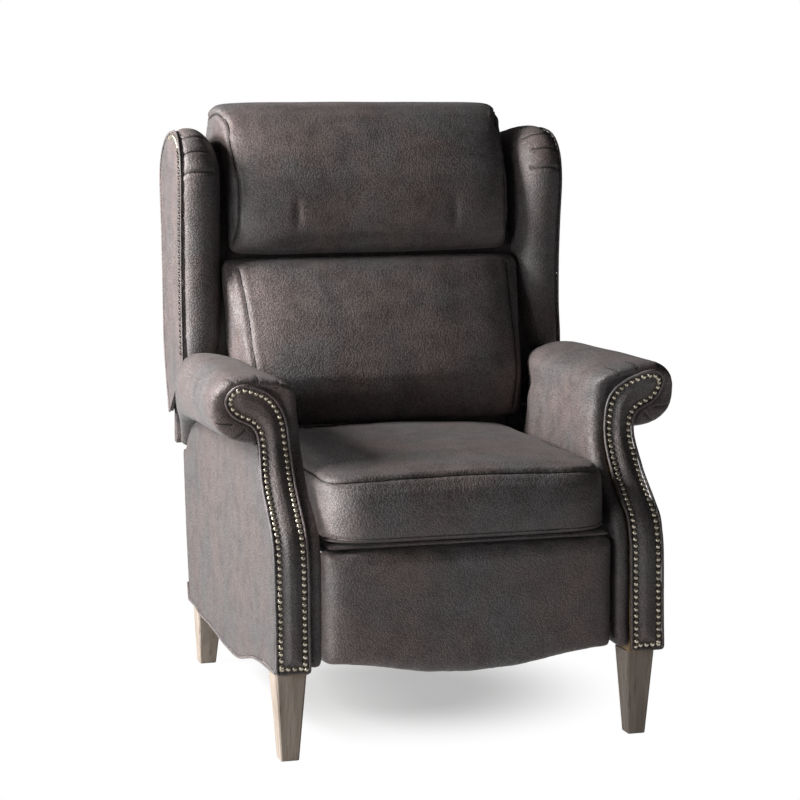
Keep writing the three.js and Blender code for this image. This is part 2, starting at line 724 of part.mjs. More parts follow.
// elastic webbing in front of the stiles carries the back cushion
const webGap = webWall + seatClear;
function planeStrip(z0, z1, x0, x1) {
  return sidePrism([
    [backFront(z0) - webGap, z0], [backFront(z1) - webGap, z1],
    [backFront(z1) - seatClear, z1], [backFront(z0) - seatClear, z0],
  ], x0, x1);
}
const backWebRowShares = [0.08, 0.30, 0.52, 0.74, 0.92];
const webColumnShares = [-0.66, -0.22, 0.22, 0.66];
const backWebHalf = stileX + stileWall - snug;
const backWebLow = lowRailZ;
const backWebSpan = stileTopZ - backWebLow;
add('back_webbing', join(
  ...backWebRowShares.map((share) => {
    const z = backWebLow + share * backWebSpan;
    return planeStrip(z - webWidth / 2, z + webWidth / 2, -backWebHalf, backWebHalf);
  }),
  ...webColumnShares.map((share) => {
    const x = share * stileX;
    return planeStrip(backWebLow, stileTopZ, x - webWidth / 2, x + webWidth / 2);
  }),
), webbing);

// a padded form lofted across the chair from a side profile; it swells in the middle
const padStationShares = [
  [-1, 0.90], [-0.985, 0.965], [-0.93, 0.99], [-0.75, 1], [-0.4, 1], [0, 1],
  [0.4, 1], [0.75, 1], [0.93, 0.99], [0.985, 0.965], [1, 0.90],
];
function crossPad(profile, halfAt, swell, flare, behind, shelfZ) {
  const middle = [0, 1].map((k) => profile.reduce((sum, p) => sum + p[k] / profile.length, 0));
  const rings = padStationShares.map(([across, size]) => profile.map(([y, z]) => {
    const scaled = middle[1] + (z - middle[1]) * size;
    const pz = z < shelfZ ? scaled : Math.max(shelfZ, scaled);
    const limit = behind(pz);
    const forward = Math.min(1, Math.max(0, (limit - y) / flare));
    const dome = swell * (1 - across * across) * forward;
    const py = Math.min(limit, middle[0] + (y - middle[0]) * size - dome);
    return [across * halfAt(py), py, pz];
  }));
  return loft(rings, ([, y, z]) => new THREE.Vector2(y, z));
}
const behindPad = (z) => backFront(z) - webGap - seatClear;
const wingInnerAt = (y) => wingInnerX - wingSlant * (y - wingFrontY);

// the back cushion: its seam leans back, and its boxed sides widen towards the frame
const cushionHalf = 268;
const cushionSwell = 14;
const cushionFlare = 60;
const cushionSpread = 0.24;
const cushionDepth = 110;
const cushionGap = 2.3;
const headLowShare = 0.7415;
const headLow = headLowShare * headTopZ;
const padLow = 503;
const padTall = headLow - cushionGap - padLow;
// up the face: height, and how far the face stands in front of the frame
const backFaceShares = [
  [0.000, 0.370], [0.027, 0.537], [0.101, 0.698], [0.202, 0.827], [0.303, 0.905], [0.404, 0.880],
  [0.539, 0.811], [0.673, 0.725], [0.808, 0.613], [0.916, 0.507], [0.980, 0.410], [1.000, 0.236],
];
const backRiseShares = [1.000, 0.808, 0.640, 0.471, 0.303, 0.135, 0.000];
const backProfile = [
  ...backFaceShares.map(([high, deep]) => [padLow + high * padTall, deep])
    .map(([z, deep]) => [behindPad(z) - deep * cushionDepth, z]),
  ...backRiseShares.map((high) => padLow + high * padTall).map((z) => [behindPad(z), z]),
];
const bellyShare = 0.303;
const bellyZ = padLow + bellyShare * padTall;
const bellyY = behindPad(bellyZ) - cushionDepth;
const cushionHalfAt = (y) => Math.min(
  cushionHalf + cushionSpread * Math.max(0, y - bellyY), wingInnerAt(y) - padLip,
);
add('back_cushion', crossPad(backProfile, cushionHalfAt, cushionSwell, cushionFlare, behindPad, 0), leather);

// the head cushion lies on the upper back and folds over the top rail
const headHalf = 272;
const headSwell = 8;
const headFlare = 120;
const headSpread = 0.1;
const headDepth = 110;
const capClear = backTopZ + snug;
const capFrontY = behindPad(capClear);
const capReach = topRailRear - capFrontY;
// up the face: height, and how far the face stands in front of the frame
const headFaceShares = [
  [0.000, 0.259], [0.054, 0.474], [0.174, 0.609], [0.346, 0.725], [0.551, 0.814], [0.762, 0.845],
  [0.985, 0.779],
];
// over the top rail: how far back, and how high
const headCapShares = [
  [-0.345, 0.401], [-0.133, 0.748], [0.085, 0.940], [0.302, 1.000], [0.532, 0.928], [0.738, 0.712],
  [0.870, 0.377], [0.921, 0.041], [0.898, 0.000], [0.497, 0.000], [0.000, 0.000],
];
const headRiseShares = [0.848, 0.563, 0.277, 0.000];
const headZ = (share) => headLow + share * (capClear - headLow);
const headProfile = [
  ...headFaceShares.map(([high, deep]) => [behindPad(headZ(high)) - deep * headDepth, headZ(high)]),
  ...headCapShares.map(([back, high]) => [
    capFrontY + back * capReach, capClear + high * (headTopZ - capClear),
  ]),
  ...headRiseShares.map((high) => [behindPad(headZ(high)), headZ(high)]),
];
const behindHead = (z) => (z < capClear ? behindPad(z) : rearY);
const headHalfAt = (y) => Math.min(
  headHalf + headSpread * Math.max(0, y - headProfile[3][0]), wingInnerAt(y) - padLip,
);
add('headrest_cushion', crossPad(
  headProfile, headHalfAt, headSwell, headFlare, behindHead, capClear,
), leather);

// wings: a plywood board, a padded nose that rolls over its front and top, and an outer skin
const boardX = wingFrontX - wingSkin - seatClear;
const boardSetback = 10;
const wingLow = wingFront[0][1];
const wingRearLow = wingRear[0];
const wingSpace = (offset) => {
  const levels = backRearTable.map(([z]) => z).filter((z) => z > backShoulderZ);
  const rear = levels.map((z) => [outsideFrontY(z) - offset, z]);
  return sidePrism([[0, levels[0]], ...rear, [rear[rear.length - 1][0], wingTopZ + overrun],
    [0, wingTopZ + overrun]], 0, farX);
};
const wingBoard = toSolid(sidePrism(inset(wingOutline, boardSetback), boardX - wingBoardWall, boardX))
  .intersect(toSolid(wingSpace(seatClear)));
addPair('wing_board', slantWing(fromSolid(wingBoard)), frameWood);
addPair('wing_outer_panel', slantWing(
  sidePrism(wingOutline, wingFrontX - wingSkin, wingFrontX),
), leatherLit);

// across from the outer edge, and how far the nose stands out at the front and at the top
const wingPadShares = [
  [0, -0.07, 0], [0.08, 0.64, 0.35], [0.27, 1.0, 0.5], [0.53, 1.0, 0.2], [0.75, 0.43, -0.7],
  [0.91, -0.71, -2.0], [1.0, -2.5, -3.5],
];
const noseBlendShares = [0.935, 0.99];
const noseFadeShares = [0.25, 0.40, 0.85];
function wingPad() {
  const last = wingOutline.length - 1;
  const low = wingOutline.map(([y, z], i) => [y, i === 0 || i === last ? z - 2 * overrun : z]);
  const span = wingPadShares.map(([across, atFront, atTop]) => {
    const x = wingFrontX - seatClear - across * (wingFrontX - seatClear - wingInnerX);
    const out = ([y, z]) => {
      const blend = ramp(z / wingTopZ, noseBlendShares[0], noseBlendShares[1]);
      const fade = 1 - noseFadeShares[2] * ramp(y / chairDepth, noseFadeShares[0], noseFadeShares[1]);
      return -wingNose * (atFront + (atTop - atFront) * blend) * fade;
    };
    return inset(low, out).map(([y, z]) => [x, y, z]);
  });
  const body = loft(span, ([, y, z]) => new THREE.Vector2(y, z));
  const edge = (y) => wingLow + ((wingRearLow[1] - wingLow) * (y - wingFront[0][0]))
    / (wingRearLow[0] - wingFront[0][0]);
  const above = sidePrism([
    [0, edge(0)], [rearY, edge(rearY)], [rearY, wingTopZ + overrun], [0, wingTopZ + overrun],
  ], nearX, farX);
  const stileRear = (z) => backFront(z) + stileDepth + seatClear;
  const frame = sidePrism([
    [stileRear(backFootZ), backFootZ], [stileRear(capClear), capClear], [rearY, capClear], [rearY, backFootZ],
  ], nearX, farX);
  const boardSpace = sidePrism(
    inset(wingOutline, boardSetback - seatClear), boardX - wingBoardWall - seatClear, farX,
  );
  const skinSpace = sidePrism(inset(wingOutline, -seatClear), boardX, farX);
  return fromSolid(toSolid(body)
    .intersect(toSolid(above))
    .intersect(toSolid(wingSpace(seatClear)))
    .subtract(toSolid(frame))
    .subtract(toSolid(boardSpace))
    .subtract(toSolid(skinSpace)));
}
addPair('wing_pad', slantWing(wingPad()), leather);

// seat frame: side rails, a front rail with a flat nosing, a rear rail and elastic webbing
const seatRailTop = seatBottomZ - webWall - 2 * seatClear - webSag;
const seatRailLow = seatRailTop - seatRailHeight;
const seatFrameRear = seatRearY - seatFrameInset;
const seatFrameFront = frontY + seatFrameSetback;
const seatRailFrontY = seatFrameFront + seatRailWall + seatClear;
const seatRailOuter = plateX - seatClear;
const seatRailNarrow = seatRailX + seatRailWall;
const linkBayY = frontY + linkBaySetback;
const seatRailRearY = seatFrameRear - seatRailWall - seatClear;
addPair('seat_side_rail', planPrism([
  [seatRailX, seatRailFrontY], [seatRailNarrow, seatRailFrontY], [seatRailNarrow, linkBayY],
  [seatRailOuter, linkBayY], [seatRailOuter, seatRailRearY], [seatRailX, seatRailRearY],
], seatRailLow, seatRailTop), frameWood);
const nosingReach = 53;
add('seat_front_rail', join(
  block(
    -seatRailNarrow, seatRailNarrow, seatFrameFront, seatFrameFront + seatRailWall, seatRailLow, seatRailTop,
  ),
  block(
    -seatRailOuter, seatRailOuter, seatFrameFront - nosingReach, seatFrameFront + seatRailWall,
    seatRailTop - nosingWall, seatRailTop,
  ),
), frameWood);
add('seat_rear_rail', block(
  -seatRailOuter, seatRailOuter, seatFrameRear - seatRailWall, seatFrameRear, seatRailLow, seatRailTop,
), frameWood);
const seatWebLow = seatRailTop + seatClear;
const seatWebColumnShares = [-0.66, -0.22, 0.22, 0.66];
const seatWebRowShares = [0.1, 0.26, 0.42, 0.58, 0.74, 0.9];
const seatFrameLength = seatFrameRear - seatFrameFront;
add('seat_webbing', join(
  ...seatWebColumnShares.map((share) => block(
    share * seatRailOuter - webWidth / 2, share * seatRailOuter + webWidth / 2,
    seatFrameFront, seatFrameRear, seatWebLow, seatWebLow + webWall,
  )),
  ...seatWebRowShares.map((share) => block(
    -seatRailOuter, seatRailOuter, seatFrameFront + share * seatFrameLength - webWidth / 2,
    seatFrameFront + share * seatFrameLength + webWidth / 2, seatWebLow, seatWebLow + webWall,
  )),
), webbing);

// the seat cushion: a crowned top over a drawn-in side seam, and a bowed front
const seatCushionLow = seatWebLow + webWall + seatClear;
const seatProfileShares = [
  [0.000, 0.00], [-0.008, 0.22], [-0.008, 0.52], [0.004, 0.82], [0.034, 1.00], [0.10, 1.12],
  [0.25, 1.22], [0.45, 1.26], [0.65, 1.26], [0.78, 1.24], [0.83, 1.20], [0.90, 1.14], [0.985, 1.08],
  [1.00, 0.90], [1.00, 0.30], [0.99, 0.00],
];
const seatStationShares = [
  [-1, 0.93, 0], [-0.985, 0.975, 0.10], [-0.94, 0.99, 0.25], [-0.8, 1, 0.55], [-0.55, 1, 0.83],
  [-0.25, 1, 0.97], [0, 1, 1], [0.25, 1, 0.97], [0.55, 1, 0.83], [0.8, 1, 0.55],
  [0.94, 0.99, 0.25], [0.985, 0.975, 0.10], [1, 0.93, 0],
];
function seatCushion() {
  const deep = seatRearY - seatFrontY;
  const tall = seatSeamZ - seatCushionLow;
  const crownShare = Math.max(...seatProfileShares.map(([, high]) => high)) - 1;
  const scale = seatCrown / tall / crownShare;
  const middle = seatFrontY + deep / 2;
  const rings = seatStationShares.map(([across, size, swell]) => seatProfileShares.map(([along, high]) => {
    const lift = high > 1 ? 1 + (high - 1) * scale * swell : high * (1 - (1 - swell) * (1 - size));
    const y = seatFrontY + along * deep;
    return [across * seatHalfWidth, middle + (y - middle) * size, seatCushionLow + lift * tall];
  }));
  return loft(rings, ([, y, z]) => new THREE.Vector2(y, z));
}
add('seat_cushion', seatCushion(), leather);

// the seat glides on two channels that stand on the base's cross rails
const trackWall = 2;
const trackRoom = 3;
const trackInner = plateX - trackRoom - trackWall;
const trackOuter = plateX + linkWall + trackRoom + trackWall;
const trackHeight = 17.7;
const trackInset = 8;
const trackTail = 25;
const trackFront = frontCrossY + trackInset;
const trackRear = midCrossY + crossRailDepth + trackTail;
const trackLow = crossRailTop + seatClear;
addPair('glide_track', frontPrism([
  [trackInner, trackLow], [trackOuter, trackLow], [trackOuter, trackLow + trackHeight],
  [trackOuter - trackWall, trackLow + trackHeight], [trackOuter - trackWall, trackLow + trackWall],
  [trackInner + trackWall, trackLow + trackWall], [trackInner + trackWall, trackLow + trackHeight],
  [trackInner, trackLow + trackHeight],
], trackFront, trackRear), steel);

// footrest linkage: two driven links, a crossing link, an outer link and the footrest's bracket
const turn = (degrees) => [Math.cos((degrees * Math.PI) / 180), Math.sin((degrees * Math.PI) / 180)];
const along = (from, degrees, length) => {
  const [a, b] = turn(degrees);
  return [from[0] + a * length, from[1] + b * length];
};
const toePivot = [toeY, toeZ];
const crossPivot = along(toePivot, crossAngle, -crossFar);
const drivePivot = along(crossPivot, driveAngle, -driveNear);
const drivePin = along(crossPivot, driveAngle, driveFar);
const slotPin = along(crossPivot, crossAngle, -crossNear);
const outerPivot = along(drivePin, crossAngle, crossFar);
const driveX = plateX - linkStep;
const crossX = driveX - linkStep;
const bracketX = crossX - linkStep;
const outerX = bracketX - linkStep;

// a flat bar with round ends between two pivots
function bar(from, to, width, x0) {
  const heading = Math.atan2(to[1] - from[1], to[0] - from[0]);
  const outline = [];
  for (const [centre, start] of [[to, -Math.PI / 2], [from, Math.PI / 2]]) {
    for (let i = 0; i <= circleSteps / 2; i += 1) {
      const a = heading + start + (Math.PI * i) / (circleSteps / 2);
      outline.push([centre[0] + (width / 2) * Math.cos(a), centre[1] + (width / 2) * Math.sin(a)]);
    }
  }
  return sidePrism(outline, x0, x0 + linkWall);
}
const pinAt = ([y, z], x0, x1) => toSolid(rod(linkPin, x0, x1, y, z));
const holeAt = ([y, z], x0) => toSolid(rod(linkPin + pinClear, x0 - overrun, x0 + overrun, y, z));
const waistShare = 0.62;
function link(from, middle, to, x0) {
  const lobes = [from, middle, to].map((p) => toSolid(rod(linkWidth / 2, x0, x0 + linkWall, p[0], p[1])));
  return lobes.reduce((solid, lobe) => solid.add(lobe), toSolid(bar(from, to, linkWidth * waistShare, x0)));
}

const driveLink = link(drivePivot, crossPivot, drivePin, driveX)
  .add(pinAt(drivePivot, driveX + linkWall - seatClear, plateX + linkWall + seatClear))
  .add(pinAt(crossPivot, crossX - seatClear, driveX + seatClear))
  .add(pinAt(drivePin, outerX - seatClear, driveX + seatClear));
addPair('drive_link', fromSolid(driveLink), steel);
const tubeHalf = driveX - seatClear;
add('torque_tube', rod(tubeRadius, -tubeHalf, tubeHalf, drivePivot[0], drivePivot[1]), steel);

const crossLink = link(slotPin, crossPivot, toePivot, crossX)
  .subtract(holeAt(crossPivot, crossX))
  .add(pinAt(toePivot, bracketX - seatClear, crossX + seatClear))
  .add(pinAt(slotPin, crossX + linkWall - seatClear, plateX + linkWall + seatClear));
addPair('cross_link', fromSolid(crossLink), steel);

const outerMiddle = along(drivePin, crossAngle, crossFar / 2);
const outerLink = link(drivePin, outerMiddle, outerPivot, outerX)
  .subtract(holeAt(drivePin, outerX));
addPair('outer_link', fromSolid(outerLink.subtract(holeAt(outerPivot, outerX))), steel);

const footBoardRear = footFrontY + footPadWall + footBoardWall;
const bracketNose = linkWidth / 2;
function footrestBracket() {
  const flange = footBoardRear + seatClear;
  const ear = sidePrism([
    [flange, toeZ + bracketNose + linkPin], [toeY, toeZ + bracketNose], [toeY + bracketNose, toeZ],
    [outerPivot[0] + bracketNose, outerPivot[1]], [outerPivot[0], outerPivot[1] - bracketNose],
    [flange, outerPivot[1] - bracketNose - linkPin],
  ], bracketX, bracketX + linkWall);
  return toSolid(ear)
    .subtract(holeAt(toePivot, bracketX))
    .add(pinAt(outerPivot, outerX - seatClear, bracketX + seatClear));
}
addPair('footrest_bracket', fromSolid(footrestBracket()), steel);

// the side plate under the seat, with the curved slot that guides the crossing link's end
const slotSteps = 16;
const slotClear = 0.7;
const slotPath = [];
for (let i = 0; i <= slotSteps; i += 1) {
  const share = i / slotSteps;
  const knee = along(drivePivot, driveAngle + driveSweep * share, driveNear);
  slotPath.push(along(knee, crossAngle + crossSweep * share, -crossNear));
}
const plateLap = 10;
const plateTop = seatRailLow + plateLap;
const plateLow = trackLow + trackWall + seatClear;
const plateRear = trackRear;
const plateEar = 20;
const plateEarDrop = 30;
const plateNeck = 52;
const plateHeel = 60;
const toeWall = 16;
function mechanismPlate() {
  const [startY, startZ] = slotPath[0];
  const [endY] = slotPath[slotSteps];
  const toeLow = startZ - toeWall;
  const outline = [
    [endY - plateEar, plateTop], [endY - plateEar, drivePivot[1] - plateEarDrop],
    [endY - toeWall, startZ + plateNeck], [startY - plateNeck + toeWall / 2, startZ],
    [startY - 1.5 * toeWall, toeLow], [startY + toeWall, toeLow], [startY + 1.5 * toeWall, startZ],
    [startY + 2 * toeWall, plateLow], [plateRear, plateLow], [plateRear, plateLow + 2 * trackHeight],
    [plateRear - plateHeel, plateTop],
  ];
  const width = 2 * (linkPin + slotClear);
  const cuts = [-linkWall, 0, linkWall].flatMap((offset) => (
    slotPath.slice(1).map((p, i) => toSolid(bar(slotPath[i], p, width, plateX + offset)))
  ));
  const plate = toSolid(sidePrism(outline, plateX, plateX + linkWall)).subtract(holeAt(drivePivot, plateX));
  return cuts.reduce((solid, cut) => solid.subtract(cut), plate);
}
addPair('mechanism_plate', fromSolid(mechanismPlate()), steel);

// footrest: a board carried by the brackets, and the scalloped leather pad on it
const footScallopShares = [
  [-1, 0], [-0.907, 0.03], [-0.759, 0.17], [-0.607, 0.38], [-0.455, 0.64], [-0.304, 0.86],
  [-0.182, 0.93], [0, 1], [0.182, 0.93], [0.304, 0.86], [0.455, 0.64], [0.607, 0.38],
  [0.759, 0.17], [0.907, 0.03], [1, 0],
];
function footOutline(edge) {
  const half = footHalfWidth - edge;
  const low = footScallopShares.map(([x, drop]) => [x * half, footCornerZ + edge - drop * footDrop]);
  return [...low, [half, footTopZ - edge], [-half, footTopZ - edge]];
}
const footBoardEdge = 8;
const footPadRear = footFrontY + footPadWall;
add('footrest_board', frontPrism(
  footOutline(footBoardEdge), footPadRear + seatClear, footPadRear + footBoardWall,
), frameWood);
const footPadStationShares = [[0, 0.62], [0.05, 0.25], [0.16, 0.05], [0.35, 0], [1, 0]];
const footPadRound = 16;
function footrestPad() {
  const rings = footPadStationShares.map(([deep, edge]) => (
    footOutline(edge * footPadRound).map(([x, z]) => [x, footFrontY + deep * footPadWall, z])
  ));
  return loft(rings, ([x, , z]) => new THREE.Vector2(x, z));
}
add('footrest_pad', footrestPad(), leather);

export default chair;
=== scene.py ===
import math

import bpy
import numpy as np
from mathutils import Euler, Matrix, Vector, kdtree, noise
from mathutils.bvhtree import BVHTree

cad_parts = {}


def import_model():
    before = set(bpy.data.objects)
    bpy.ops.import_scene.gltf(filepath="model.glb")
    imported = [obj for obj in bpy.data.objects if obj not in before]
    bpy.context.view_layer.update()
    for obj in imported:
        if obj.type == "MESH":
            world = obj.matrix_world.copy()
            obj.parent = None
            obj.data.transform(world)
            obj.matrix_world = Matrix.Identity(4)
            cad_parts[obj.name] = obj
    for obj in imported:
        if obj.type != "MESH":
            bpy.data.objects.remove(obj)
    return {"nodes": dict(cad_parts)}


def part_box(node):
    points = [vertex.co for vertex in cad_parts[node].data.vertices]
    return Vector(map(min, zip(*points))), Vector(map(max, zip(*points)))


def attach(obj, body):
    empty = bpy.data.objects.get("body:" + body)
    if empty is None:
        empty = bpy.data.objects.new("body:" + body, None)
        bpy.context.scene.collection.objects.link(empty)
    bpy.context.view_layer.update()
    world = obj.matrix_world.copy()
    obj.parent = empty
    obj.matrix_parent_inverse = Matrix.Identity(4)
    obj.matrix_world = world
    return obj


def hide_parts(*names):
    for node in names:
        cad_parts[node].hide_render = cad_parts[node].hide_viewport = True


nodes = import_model()["nodes"]
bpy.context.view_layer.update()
print("frame loaded with", len(nodes), "nodes")

mm = 0.001
mergeWithin = 0.02 * mm
outlineStep = 3 * mm
bothSides = {"right": 1, "left": -1}


# Mesh tools

def only(obj):  # selects this object and nothing else
    bpy.ops.object.select_all(action="DESELECT")
    obj.select_set(True)
    bpy.context.view_layer.objects.active = obj


def finishWith(obj, kind, **settings):  # adds one modifier and applies it
    modifier = obj.modifiers.new(kind.title(), kind)
    for key, value in settings.items():
        setattr(modifier, key, value)
    only(obj)
    bpy.ops.object.modifier_apply(modifier=modifier.name)


def readPoints(obj):
    flat = np.empty(len(obj.data.vertices) * 3)
    obj.data.vertices.foreach_get("co", flat)
    return flat.reshape(-1, 3)


def writePoints(obj, points):
    obj.data.vertices.foreach_set("co", points.ravel())
    obj.data.update()


def readNormals(obj):
    flat = np.empty(len(obj.data.vertices) * 3)
    obj.data.vertices.foreach_get("normal", flat)
    return flat.reshape(-1, 3)


def tidyShell(obj):  # merges doubles and turns all faces outwards
    only(obj)
    bpy.ops.object.mode_set(mode="EDIT")
    bpy.ops.mesh.select_all(action="SELECT")
    bpy.ops.mesh.remove_doubles(threshold=mergeWithin)
    bpy.ops.mesh.normals_make_consistent(inside=False)
    bpy.ops.object.mode_set(mode="OBJECT")
    return obj


def mergedCopy(node, name):
    obj = bpy.data.objects.new(name, nodes[node].data.copy())
    bpy.context.collection.objects.link(obj)
    obj.data.materials.clear()
    return tidyShell(obj)


def mirroredCopy(obj):  # the left twin of a piece on the right
    twin = bpy.data.objects.new(obj.name.replace("right", "left"), obj.data.copy())
    bpy.context.collection.objects.link(twin)
    points = readPoints(twin)
    points[:, 0] *= -1
    writePoints(twin, points)
    return tidyShell(twin)


def skinTree(obj):
    corners = [vertex.co.copy() for vertex in obj.data.vertices]
    return BVHTree.FromPolygons(corners, [tuple(face.vertices) for face in obj.data.polygons])


def joined(name, parts):
    bpy.ops.object.select_all(action="DESELECT")
    for part in parts:
        part.select_set(True)
    bpy.context.view_layer.objects.active = parts[0]
    bpy.ops.object.join()
    parts[0].name = name
    return parts[0]


def ease(values, low, high):  # 0 below low, 1 above high, smooth between
    t = np.clip((values - low) / (high - low), 0, 1)
    return t * t * (3 - 2 * t)


# Lines that seams, welts and nails follow

def evenSteps(line, spacing):
    gaps = np.linalg.norm(np.diff(line, axis=0), axis=1)
    along = np.concatenate([[0], np.cumsum(gaps)])
    count = max(2, int(round(along[-1] / spacing)) + 1)
    where = np.linspace(0, along[-1], count)
    return np.stack([np.interp(where, along, line[:, k]) for k in range(3)], 1)


def closedSteps(line, spacing):
    return evenSteps(np.vstack([line, line[:1]]), spacing)[:-1]


def curveThrough(points, spacing=4 * mm):  # points in millimetres
    pts = np.array(points, float) * mm
    padded = np.vstack([2 * pts[0] - pts[1], pts, 2 * pts[-1] - pts[-2]])
    fine = []
    for a, b, c, d in zip(padded, padded[1:], padded[2:], padded[3:]):
        for t in np.linspace(0, 1, 24, endpoint=False):
            fine.append(0.5 * (2 * b + (c - a) * t + (2 * a - 5 * b + 4 * c - d) * t ** 2
                               + (3 * b - a - 3 * c + d) * t ** 3))
    fine.append(pts[-1])
    return evenSteps(np.array(fine), spacing)


def calm(line, rounds, closed=False):
    line = line.copy()
    for _ in range(rounds):
        if closed:
            line = (np.roll(line, 1, 0) + 2 * line + np.roll(line, -1, 0)) / 4
        else:
            line[1:-1] = (line[:-2] + 2 * line[1:-1] + line[2:]) / 4
    return line


def settle(line, tree, rise=0.0):  # lays a line on the skin, and lifts it by rise
    out = []
    for point in line:
        spot, normal, _, _ = tree.find_nearest(Vector(point))
        out.append(np.array(spot) + np.array(normal) * rise)
    return np.array(out)


def flipped(line):
    return line * np.array([-1, 1, 1])


def nearLine(points, line):  # distance to a line, and which of its points is nearest
    finder = kdtree.KDTree(len(line))
    for i, spot in enumerate(line):
        finder.insert(spot, i)
    finder.balance()
    far = np.empty(len(points))
    where = np.empty(len(points), int)
    for i, point in enumerate(points):
        _, where[i], far[i] = finder.find(point)
    return far, where


def faceLoop(obj, picked):  # the edge line around the faces whose normal is picked
    rims = {}
    for face in obj.data.polygons:
        if picked(face):
            for key in face.edge_keys:
                rims[key] = rims.get(key, 0) + 1
    follow = {}
    for (a, b), count in rims.items():
        if count == 1:
            follow.setdefault(a, []).append(b)
            follow.setdefault(b, []).append(a)
    loops = []
    while follow:
        start = next(iter(follow))
        chain = [start]
        while True:
            nexts = follow.get(chain[-1], [])
            if not nexts:
                break
            step = nexts.pop()
            follow[step].remove(chain[-1])
            if not follow[chain[-1]]:
                follow.pop(chain[-1])
            if step == start:
                break
            chain.append(step)
        follow.pop(start, None)
        loops.append(np.array([obj.data.vertices[i].co[:] for i in chain]))
    return max(loops, key=lambda loop: np.linalg.norm(np.diff(loop, axis=0), axis=1).sum())


def outlineOf(node, picked):  # the rim of a solid's face, in even steps, and the solid's skin
    solid = mergedCopy(node, "outline")
    outline = closedSteps(faceLoop(solid, picked), outlineStep)
    tree = skinTree(solid)
    bpy.data.objects.remove(solid)
    return outline, tree


def insetLine(line, distance):  # a closed line in the plane of X and Z, moved inwards
    before = line - np.roll(line, 1, 0)
    after = np.roll(line, -1, 0) - line
    heading = before / np.linalg.norm(before, axis=1)[:, None] + after / np.linalg.norm(after, axis=1)[:, None]
    inward = np.stack([-heading[:, 2], np.zeros(len(line)), heading[:, 0]], 1)
    inward /= np.linalg.norm(inward, axis=1)[:, None]
    area = np.sum(line[:, 0] * np.roll(line[:, 2], -1) - np.roll(line[:, 0], -1) * line[:, 2])
    return line + inward * distance * np.sign(area)


def layTube(name, line, radius, closed=False, taper=None):  # a round cord of leather along a line
    curve = bpy.data.curves.new(name, "CURVE")
    curve.dimensions = "3D"
    curve.bevel_depth = radius
    curve.bevel_resolution = 2
    curve.use_fill_caps = not closed
    spline = curve.splines.new("POLY")
    spline.points.add(len(line) - 1)
    spline.points.foreach_set("co", np.hstack([line, np.ones((len(line), 1))]).ravel())
    if taper is not None:
        spline.points.foreach_set("radius", taper)
    spline.use_cyclic_u = closed
    obj = bpy.data.objects.new(name, curve)
    bpy.context.collection.objects.link(obj)
    only(obj)
    bpy.ops.object.convert(target="MESH")
    bpy.ops.object.shade_smooth()
    return tidyShell(obj)


# Finishes

def fill(tree, node, sockets):  # sets each socket's value, or links it where the value is another socket
    for key, value in sockets.items():
        socket = node.inputs[key]
        if isinstance(value, bpy.types.NodeSocket):
            tree.links.new(value, socket)
        elif socket.type == "RGBA":
            socket.default_value = (*value, 1)
        else:
            socket.default_value = value
    return node


def addNode(tree, kind, sockets=None, **settings):
    made = tree.nodes.new(kind)
    for key, value in settings.items():
        setattr(made, key, value)
    return fill(tree, made, sockets or {})


def emptyTree(owner):  # a material's or the world's node tree, with nothing in it
    owner.use_nodes = True
    owner.node_tree.nodes.clear()
    return owner.node_tree


def newMaterial(name):
    material = bpy.data.materials.new(name)
    tree = emptyTree(material)
    shader = addNode(tree, "ShaderNodeBsdfPrincipled")
    addNode(tree, "ShaderNodeOutputMaterial", {"Surface": shader.outputs["BSDF"]})
    return material, tree, shader, addNode(tree, "ShaderNodeTexCoord").outputs["Object"]


def stretched(tree, place, scale):
    return addNode(tree, "ShaderNodeMapping", {"Vector": place, "Scale": scale}).outputs["Vector"]


def noiseOf(tree, place, scale, detail, roughness=0.55, distortion=0.0):
    return addNode(tree, "ShaderNodeTexNoise", {
        "Vector": place, "Scale": scale, "Detail": detail, "Roughness": roughness,
        "Distortion": distortion}).outputs["Fac"]


def rampOf(tree, value, stops):  # stops are (place, colour) with colours in linear light
    made = addNode(tree, "ShaderNodeValToRGB", {"Fac": value})
    band = made.color_ramp
    while len(band.elements) < len(stops):
        band.elements.new(0.5)
    for element, (spot, colour) in zip(band.elements, stops):
        element.position = spot
        element.color = (*colour, 1)
    return made.outputs["Color"]


def blended(tree, factor, a, b, mode="MIX"):
    return addNode(tree, "ShaderNodeMix", {0: factor, 6: a, 7: b}, data_type="RGBA", blend_type=mode).outputs[2]


def ranged(tree, value, low, high, newLow, newHigh, **settings):
    return addNode(tree, "ShaderNodeMapRange", {
        "Value": value, "From Min": low, "From Max": high, "To Min": newLow, "To Max": newHigh},
        **settings).outputs["Result"]


def reckoned(tree, operation, a, b):
    return addNode(tree, "ShaderNodeMath", {0: a, 1: b}, operation=operation).outputs["Value"]


def bumped(tree, height, strength, distance, before=None):
    made = addNode(tree, "ShaderNodeBump", {"Height": height, "Strength": strength, "Distance": distance})
    if before is not None:
        tree.links.new(before, made.inputs["Normal"])
    return made.outputs["Normal"]


leatherLook = {
    "dark": (0.077, 0.061, 0.060),
    "warm": (0.190, 0.151, 0.144),
    "cool": (0.153, 0.144, 0.145),
    "pore": (0.30, 0.28, 0.28),
    # colour of the painted shade in seam grooves and beside nail rows
    "crease": (0.022, 0.017, 0.016),
    "cloud": 7,  # this and the next three are counts a metre
    "patch": 26,
    "bend": 60,
    "pebble": 295,
    "bendFar": 6 * mm,
    "uneven": 0.05,
    "poreWide": 0.34,
    "domeTop": 0.26,
    "domeFoot": 0.72,
    "pebbleDeep": 0.42 * mm,
    "grainDeep": 0.15 * mm,
    # pebble tops lighter and their feet darker: painted relief shading
    "paintedReliefShade": (0.78, 1.09),
    "roughLow": 0.46,
    "roughHigh": 0.64,
    "specular": 0.45,
    "sheen": 0.06,
}


